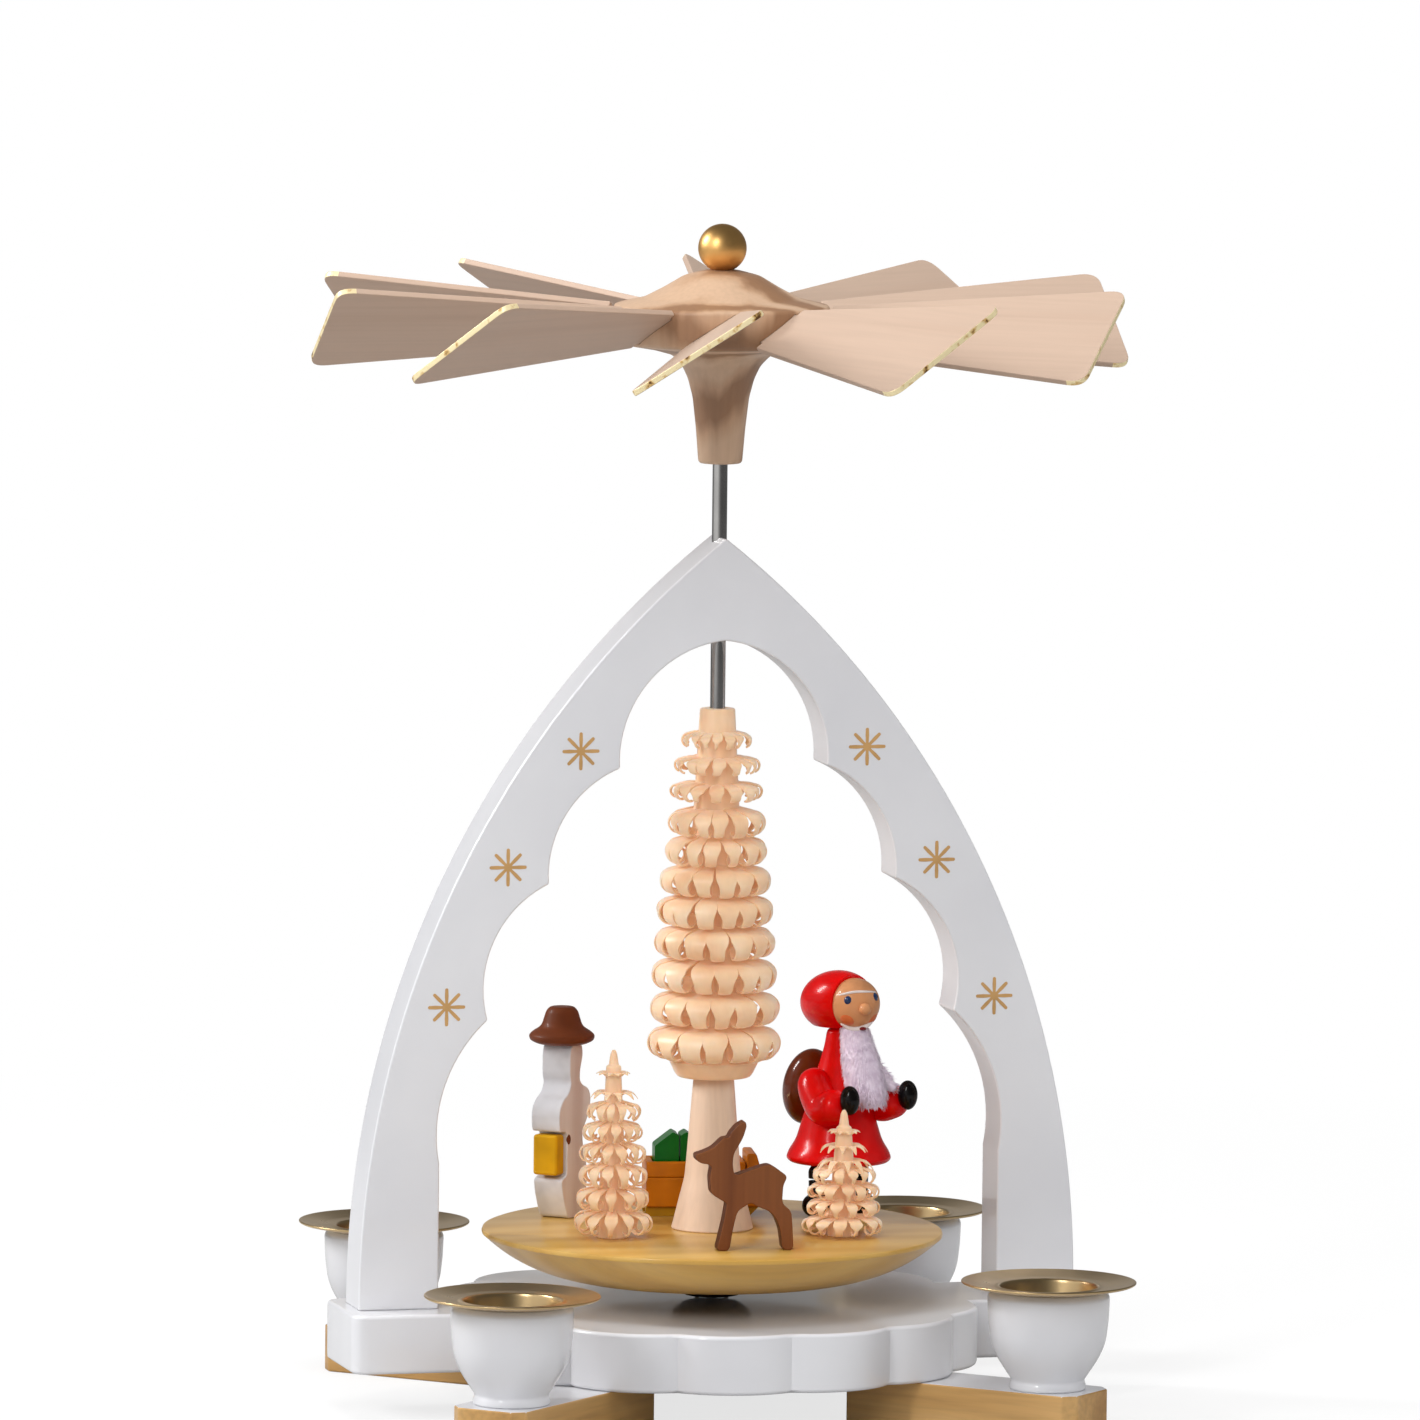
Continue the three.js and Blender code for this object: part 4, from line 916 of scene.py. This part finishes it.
def make_blades():
    tip, root_half, tip_half, corner, shoulder = 92.45, 7.5, 17.4, 4.3, FLANGE_RADIUS + 0.3
    slope = (tip_half - root_half) / (tip - shoulder)
    bend = Vector((tip, tip_half))
    start, end = bend - Vector((corner, slope * corner)), bend - Vector((0, corner))
    half = [(TONGUE_END, TONGUE_HALF), (shoulder, TONGUE_HALF), (shoulder, root_half)]
    half += [tuple(curve(start, bend, end, k / 8)) for k in range(9)]
    outline = [(x, -y) for x, y in half] + list(reversed(half))
    for node in BLADES:
        bearing = BLADE_PITCH * round(direction(middle(node)) / BLADE_PITCH)
        build = marked(slab(outline, -BLADE_THICKNESS / 2, BLADE_THICKNESS / 2),
                       lambda normal, spot: abs(normal.z) < 0.5 and spot.x > tip - corner - 0.2)
        grain = build.verts.layers.float_vector.new("grain")
        for vertex in build.verts:
            vertex[grain] = vertex.co * MM
        build.transform(on_wheel(bearing))
        bevelled(stand_in(node, build, [PALE, GILT]), 0.25, 2)


def make_finial():
    low, high = heights("finial_ball")
    radius, seat, peg, steps = half_width("finial_ball"), heights("wing_hub")[1], 1.5, 40
    centre = high - radius
    start = math.acos((centre - seat) / radius)
    profile = [(0, low), (peg, low), (peg, seat)]
    for k in range(steps):
        angle = start + (math.pi - start) * k / steps
        profile.append((radius * math.sin(angle), centre - radius * math.cos(angle)))
    stand_in("finial_ball", lathe(profile + [(0, high)]), [GOLD], kind="gold")


# Figures. Each is made round its own upright axis, with +Y the way that it walks.

def standing(inset, bearing):
    """The matrix of a figure at a distance from the disc's rim, in a direction in degrees. The figure
    walks clockwise, seen from above."""
    reach = DISC_RADIUS - inset
    angle = math.radians(bearing)
    return place(reach * math.cos(angle), reach * math.sin(angle), DISC_TOP, bearing + 180)


def sawn(outline, thickness, rounding, shift=0.0, edged=False):
    """A board figure from its side outline of (forward, up) pairs. Edged, its sawn edges take the
    second material."""
    build = upright(softened(outline, rounding, closed=True), thickness)
    build.transform(Matrix.Translation((shift, 0, 0)) @ rotation(90))
    return marked(build, lambda normal, spot: edged and abs(normal.x) < 0.5)


def make_deer():
    length, height, thickness = 22.6, 29.6, 4.2
    outline = [
        (0.475, 0.745), (0.47, 0.7), (0.42, 0.675), (0.305, 0.66), (0.33, 0.575), (0.315, 0.44),
        (0.2, 0.385), (0.155, 0.365), (0.18, 0.245), (0.255, 0), (0.125, 0), (0.09, 0.165), (0.045, 0.305),
        (-0.09, 0.37), (-0.16, 0.335), (-0.28, 0.3), (-0.34, 0.25), (-0.39, 0.155), (-0.415, 0),
        (-0.525, 0), (-0.515, 0.165), (-0.5, 0.3), (-0.405, 0.36), (-0.415, 0.5), (-0.46, 0.565),
        (-0.355, 0.625), (-0.275, 0.66), (-0.19, 0.645), (0.08, 0.575), (0.1, 0.66), (0.09, 0.745),
        (0.03, 0.82), (-0.005, 0.87), (-0.04, 0.955), (-0.025, 0.995), (0.055, 0.965), (0.125, 0.9),
        (0.14, 0.87), (0.2, 0.865), (0.3, 0.79), (0.42, 0.755)]
    build = sawn([(y * length, z * height) for y, z in outline], thickness, 1.1, edged=True)
    bevelled(stand_in("deer", build, [DEER, DEER_EDGE], standing(16.6, -94.5), 50), 0.3, 3, 55)


def make_snowman():
    at = standing(13.8, 138.6)
    height, depth, thickness = 39.8, 15.6, 7.3
    notch, notch_bottom, notch_top = -0.28, 0.25, 0.505
    outline = [
        (-0.155, 1), (-0.205, 0.95), (-0.205, 0.83), (-0.155, 0.78), (-0.235, 0.725), (-0.4, 0.695),
        (-0.5, 0.655), (-0.535, 0.61), (-0.525, 0.545), (-0.5, 0.51), (notch, notch_top),
        (notch, notch_bottom), (-0.455, 0.235), (-0.41, 0.15), (-0.33, 0.075), (-0.23, 0), (0.245, 0),
        (0.31, 0.08), (0.375, 0.2), (0.335, 0.33), (0.22, 0.43), (0.215, 0.485), (0.28, 0.52),
        (0.41, 0.585), (0.465, 0.65), (0.45, 0.7), (0.375, 0.735), (0.2, 0.76), (0.11, 0.79),
        (0.12, 0.85), (0.205, 0.93), (0.17, 1)]
    build = sawn([(y * depth, z * height) for y, z in outline], thickness, 1.2, edged=True)
    bevelled(stand_in("snowman_body", build, [WASH, CHALK], at, 50), 0.3, 3, 55)
    peg_spot = (thickness / 2 - 0.1, notch * depth + 0.7, notch_top * height - 1.8)
    peg = ball(0.75, 24, (0.7, 1, 1.6), peg_spot)
    new_piece("snowman_peg", peg, [HAT], "rotor", at)
    brim, top = 7.6, height + 8.6
    hat = [(0, height), (brim * 0.72, height), (brim * 0.96, height + 0.9), (brim, height + 2.0),
           (brim * 0.88, height + 2.9), (brim * 0.62, height + 4.1), (brim * 0.48, height + 7.6),
           (brim * 0.36, top), (0, top)]
    stand_in("snowman_hat", lathe(softened(hat, 1.1), 72), [HAT], at @ place(0, -0.5))
    width, deep, tall = 6.2, 3.9, 9.4
    pack_spot = (0, notch * depth - 0.3 - deep / 2, notch_bottom * height + 0.3 + tall / 2)
    pack = box(width, deep, tall - 0.1, pack_spot)
    bevelled(stand_in("snowman_pack", pack, [YELLOW], at), 0.7)


def make_sleigh():
    at = standing(27.7, 80.6)
    rear, front, width, runner, wall = -13.5, 14.8, 12, 2.2, 1.8
    floor = runner + 6.8
    dash_top, dash_back, dash_height = front - 3, front - 5.2, 14.5

    def part(name, build, material, width, matrix=at, angle=55, sharp=35):
        bevelled(stand_in(name, build, [material], matrix, sharp), width, 3, angle)

    side = [(rear, runner), (front - runner, runner), (front, floor / 2), (dash_top, dash_height),
            (dash_back, dash_height), (dash_back, floor), (rear, floor)]
    part("sleigh_body", sawn(side, width, 0.6), ORANGE, 0.35)
    blade = [(rear, 0), (front - 2 * runner, 0), (front - runner, runner), (rear, runner)]
    for name, shift in (("inner", width / 2 - wall), ("outer", wall - width / 2)):
        part(f"sleigh_runner_{name}", sawn(blade, wall, 0.4, shift), RUNNER, 0.3)
    ahead = dash_back - 0.3
    length, centre, tall = ahead - rear, (ahead + rear) / 2, 3.6
    rail = bmesh.new()
    for shift in (-1, 1):
        box(wall, length, tall, (shift * (width - wall) / 2, centre, floor + tall / 2), rail)
        box(width - 2 * wall, wall, tall, (0, centre + shift * (length - wall) / 2, floor + tall / 2), rail)
    part("sleigh_rail", rail, ORANGE, 0.4, angle=40)
    long, high, shoulder = 5.6, 10.2, 7
    eave = shoulder + (high - shoulder) * 0.75
    profile = [(-long, 0), (0, 0), (0, eave), (-long * 0.25, high), (-long, shoulder)]
    meeting = rear + wall + 0.3 + long
    for i, shift, turn in ((1, meeting, 0), (2, meeting + 0.3, 180)):
        matrix = at @ place(0, shift, floor, turn)
        part(f"sleigh_parcel_{i}", sawn(profile, 7, 0.4), GREEN, 0.35, matrix, 20, 20)


def make_santa():
    at = standing(14.9, 25.2)
    hem, neck = 12.4, 43.3

    def part(name, build, material, slot=None):
        """A piece of the figure. One that is given a slot has no CAD node."""
        if slot:
            return new_piece(f"{name}_wood", build, [material], "rotor", at, 45)
        return stand_in(name, build, [material], at, 45)

    coat = [(0, hem), (11.2, hem), (12.1, hem + 0.9), (11.5, hem + 2.6), (9.9, 17.5), (8.4, 22.5),
            (6.5, 29.5), (4.6, 35.5), (3.6, 39), (2.9, neck), (0, neck)]
    part("santa_coat", lathe(softened(coat, 1.3)), RED)
    head, radius = Vector((0, 4.9, 49.3)), 5.9
    part("santa_head", ball(radius, 80, at=head), SKIN)
    face = 20

    def on_face(side, up, lift=0.0):
        """A point on the head, in degrees to the side of straight ahead and up."""
        a, b = math.radians(face + side), math.radians(up)
        flat = math.cos(b)
        return head + Vector((math.sin(a) * flat, math.cos(a) * flat, math.sin(b))) * (radius + lift)

    part("santa_nose", ball(1.42, 32, at=on_face(-2, -5, 0.55)), SKIN)
    for name, side, up in (("right", 36, 14), ("left", -41, 19)):
        part(f"santa_eye_{name}", ball(1.0, 24, (1, 1, 1.1), on_face(side, up, -0.56)), EYE, "black_paint")
    for name, side in (("right", 41), ("left", -47)):
        part(f"santa_cheek_{name}", ball(3, 40, at=on_face(side, -36, -2.74)), BLUSH, "skin_paint")
    brows = ((84, 19, -0.2), (50, 27, -0.05), (24, 33), (-4, 34), (-40, 31, -0.05), (-70, 26, -0.2))
    moustache = ((70, -46), (38, -60, 0.25), (4, -60, 0.35), (-26, -50, 0.3), (-48, -38))
    for name, places, radii, sides in (("brows", brows, (0.15, 0.28, 0.33, 0.3, 0.25, 0.15), 12),
                                       ("moustache", moustache, (0.3, 0.55, 0.6, 0.55, 0.3), 14)):
        part(f"santa_{name}", tube([on_face(*spot) for spot in places], radii, sides), BROW, "beard")
    part("santa_mouth", ball(0.62, 24, (1.4, 1.4, 0.7), on_face(-12, -55, 0.62)), MOUTH, "red_paint")
    hood = ball(1, 80, (7.1, 10.35, 7.1))
    hood.transform(Matrix.Translation((0, -1, head.z)) @ rotation(8, "X"))
    for spot, normal in (((0, 0, neck + 0.2), (0, 0, -1)), ((0, head.y - 0.8, 0), (0, 1, 0))):
        bmesh.ops.bisect_plane(hood, geom=hood.verts[:] + hood.edges[:] + hood.faces[:], plane_co=spot,
                               plane_no=normal, clear_outer=True)
        bmesh.ops.holes_fill(hood, edges=hood.edges[:])
    bevelled(part("santa_hood", hood, RED), 0.4, 4, 30)
    make_beard(at, 44.4, 18.6)
    sack = ball(1, 64, (6.2, 5.75, 9))
    sack.transform(Matrix.Translation((0, -10.8, 28.6)) @ rotation(-14, "X"))
    part("santa_sack", sack, SACK)
    arm = ((5.3, -2.6, 33.6), (7.3, 0.1, 29.6), (8.2, 4.2, 25.8), (8.7, 8, 26.4), (8.7, 11.8, 28.2))
    for name, side in (("right", 1), ("left", -1)):
        points = [(side * x, y, z) for x, y, z in arm]
        part(f"santa_arm_{name}", tube(points, (3.6, 4.0, 4.1, 4.0, 4.0), 36), RED)
        build = ball(1, 36, (2.2, 2.4, 3.4), (side * 8.7, 13.9, 28.5))
        part(f"santa_mitten_{name}", build, BLACK)
        x = side * 6.2
        build = tube([(x, -4.1, 2.1), (x, 0, 2.6), (x, 4.1, 2.0)], (2.5, 2.9, 2.4), 32)
        tube([(x, -0.4, 2), (x, 0, 7), (x, 0, hem)], (2.2, 2.1, 2.3), 24, build)
        for vertex in build.verts:
            vertex.co.z = max(0, vertex.co.z)
        part(f"santa_boot_{name}", build, BLACK)


def make_beard(at, top, length):
    """A soft body of pile that falls forward from the face, with fine strands that stand out of it."""
    reach, radius, slope, strands, lock_strands = 4.8, 4.7, 0.33, 2200, 320
    shares = [(1.0, 0.0), (0.99, 0.45), (0.93, 0.75), (0.8, 0.97), (0.62, 1.0), (0.42, 0.93), (0.2, 0.78),
              (0.0, 0.66)]
    profile = [(radius * wide, top - length * down) for down, wide in shares] + [(0, top + 0.3)]
    build = lathe(softened(profile, 2.0, 5), 56)
    state = random.Random(7)
    for vertex in build.verts:
        if vertex.co.xy.length > 0.2:
            vertex.co.xy *= 1 + state.uniform(-0.03, 0.03)

    def wide(down):
        for (a, wide_a), (b, wide_b) in zip(shares, shares[1:]):
            if b <= down <= a:
                return radius * (wide_a + (wide_b - wide_a) * (a - down) / (a - b))
        return radius * shares[-1][1]

    def strand(path, side, up):
        """A thin tapering strand through places, each with its width."""
        loft([[p + side * w, p + up * w, p - side * w] for p, w in path], build)

    for _ in range(strands):
        down = state.uniform(0.02, 0.97)
        out, side = outward(state.uniform(0, 2 * math.pi))
        root = out * wide(down) * 0.96 + Vector((0, 0, top - length * down))
        tip = root + out * state.uniform(0.2, 0.8) + Vector((0, 0, -state.uniform(0.6, 1.5)))
        bend = (root + tip) / 2 + out * 0.22
        strand(((root, 1), (bend, 0.8), (tip, 0.2)), side * 0.11, Vector((0, 0, 0.1)))
    lock = [Vector((-1.8, 0.6, top - 9)), Vector((-4.5, 1.2, top - 12.4)), Vector((-6.6, 2.6, top - 14.8))]
    tube(lock, (2.6, 2.3, 0.9), 20, build)
    for _ in range(lock_strands):
        share = state.uniform(0.1, 1)
        spot = curve(*lock, share)
        out = Vector((state.uniform(-1, 0.3), state.uniform(-0.6, 1), state.uniform(-1, 0.8))).normalized()
        root = spot + out * (2.3 - 1.5 * share)
        tip = root + out * state.uniform(0.3, 1.0) + Vector((-0.5, 0.1, -0.2))
        strand(((root, 1), (tip, 0.25)), Vector((0.1, 0, 0.1)), Vector((0, 0.1, 0)))
    for vertex in build.verts:
        vertex.co.y += reach + slope * (top - vertex.co.z)
    stand_in("santa_beard", build, [BEARD], at, 60, kind="pile")


# Camera, light and floor

def make_camera():
    """The photograph's view, solved from the arch, the plate and the wheel."""
    turn, elevation, roll = math.radians(-14.68), math.radians(5.75), math.radians(0.6)
    distance, focal_pixels, image_pixels, sensor = 3157.2, 13918.7, 1420, 36
    target = Vector((-1.66, 0.44, 158.5))
    flat = math.cos(elevation)
    back = Vector((math.sin(turn) * flat, -math.cos(turn) * flat, math.sin(elevation)))
    level = Vector((math.cos(turn), math.sin(turn), 0))
    upward = back.cross(level)
    right = level * math.cos(roll) + upward * math.sin(roll)
    up = upward * math.cos(roll) - level * math.sin(roll)
    data = bpy.data.cameras.new("camera")
    data.sensor_width = sensor
    data.lens = focal_pixels * sensor / image_pixels
    data.clip_start = 0.1
    data.clip_end = 100
    camera = bpy.data.objects.new("camera", data)
    axes = Matrix((right, up, back)).transposed().to_4x4()
    camera.matrix_world = Matrix.Translation((target + back * distance) * MM) @ axes
    bpy.context.scene.collection.objects.link(camera)
    bpy.context.scene.camera = camera


def area_light(name, spot, target, size, power, mirrored=False):
    """A soft box. Only a mirrored one shows as a highlight on polished things."""
    data = bpy.data.lights.new(name, "AREA")
    data.shape = "RECTANGLE"
    data.size, data.size_y = size
    data.energy = power
    lamp = bpy.data.objects.new(name, data)
    lamp.location = spot
    lamp.rotation_euler = (Vector(target) - Vector(spot)).to_track_quat("-Z", "Y").to_euler()
    lamp.visible_glossy = mirrored
    bpy.context.scene.collection.objects.link(lamp)


def make_light():
    aim = (0, 0, 0.13)
    area_light("key", (-0.95, -0.85, 0.95), aim, (0.16, 0.6), 6, True)
    area_light("window", (-1.14, 0.53, 0.85), aim, (0.18, 0.5), 12, True)
    area_light("top", (-0.1, -0.25, 1.35), aim, (0.7, 0.7), 9)
    area_light("front", (-0.35, -1.3, 0.75), (0, 0, 0.05), (0.6, 0.4), 4)
    area_light("right", (1.25, -0.35, 0.6), aim, (0.8, 0.8), 3.8)


def make_world():
    """White behind the object, even light on it, and a room for polished things to mirror: a bright
    wall on the left, dim ones on the right and above, and the white backdrop, which polished level
    faces show when they are seen from the front."""
    world = bpy.data.worlds.new("studio")
    bpy.context.scene.world = world
    studio = Nodes(world)
    studio.tree.nodes.clear()
    ray = studio.add("ShaderNodeTexCoord").outputs["Generated"]

    def towards(way):
        """How nearly a ray goes that way: 1 is exactly."""
        node = studio.add("ShaderNodeVectorMath", operation="DOT_PRODUCT")
        node.inputs[1].default_value = way
        studio.link(ray, node.inputs[0])
        return node.outputs["Value"]

    levels = [(0.0, gray(0.13)), (0.35, gray(0.2)), (0.6, gray(0.5)), (0.85, gray(1.0))]
    walls = studio.ramp(towards((-0.93, -0.25, -0.27)), levels)
    backdrop = studio.add("ShaderNodeMapRange", From_Min=0.88, From_Max=0.97, To_Max=0.45)
    studio.link(towards((0.25, 0.96, 0.1)), backdrop.inputs["Value"])
    brighter = studio.add("ShaderNodeMath", operation="MAXIMUM")
    studio.link(walls, brighter.inputs[0])
    studio.link(backdrop.outputs["Result"], brighter.inputs[1])
    mirrored = studio.add("ShaderNodeBackground", Strength=0.9)
    studio.link(brighter.outputs["Value"], mirrored.inputs["Color"])
    even = studio.add("ShaderNodeBackground", Color=(0.98, 0.99, 1, 1), Strength=0.33)
    white = studio.add("ShaderNodeBackground", Color=gray(1), Strength=1.0)
    path = studio.add("ShaderNodeLightPath")
    lit = studio.mix_shaders(path.outputs["Is Glossy Ray"], even, mirrored)
    seen = studio.mix_shaders(path.outputs["Is Camera Ray"], lit, white)
    studio.link(seen.outputs[0], studio.add("ShaderNodeOutputWorld").inputs["Surface"])


def make_floor():
    """A wide pale floor that keeps a soft shadow near the object and fades to white."""
    build = bmesh.new()
    bmesh.ops.create_circle(build, cap_ends=True, radius=14, segments=96)
    floor = new_object("floor", build)
    floor.location.z = heights("leg_front_left")[0] * MM - 0.0001
    paper = Material("paper", gray(0.9), 0.9, Specular_IOR_Level=0.0)
    to_camera = paper.add("ShaderNodeLightPath").outputs["Is Camera Ray"]
    paper.color(paper.mix(gray(0.5), gray(0.9), to_camera))
    reach = paper.add("ShaderNodeVectorMath", operation="LENGTH")
    paper.link(paper.add("ShaderNodeTexCoord").outputs["Object"], reach.inputs[0])
    fade = paper.add("ShaderNodeMapRange", From_Min=0.15, From_Max=0.6, To_Min=0.76, To_Max=1.0)
    paper.link(reach.outputs["Value"], fade.inputs["Value"])
    share = paper.add("ShaderNodeMath", operation="MULTIPLY")
    paper.link(fade.outputs["Result"], share.inputs[0])
    paper.link(to_camera, share.inputs[1])
    seen = paper.mix_shaders(share.outputs[0], paper.shader, paper.add("ShaderNodeEmission", Strength=1.0))
    paper.link(seen.outputs[0], paper.tree.nodes["Material Output"].inputs["Surface"])
    floor.data.materials.append(paper.material)


make_camera()
make_light()
make_world()
make_floor()
make_legs()
make_plate()
make_arch()
make_stars()
make_cups()
make_trays()
make_bearings()
make_spindle()
make_turntable()
make_trunk()
make_crown()
make_small_tree("small_tree_left", 8, 2, 3.7)
make_small_tree("small_tree_right", 7, 3, 3.9)
make_hub()
make_blades()
make_finial()
make_deer()
make_snowman()
make_sleigh()
make_santa()

bpy.context.scene.view_settings.view_transform = "Standard"
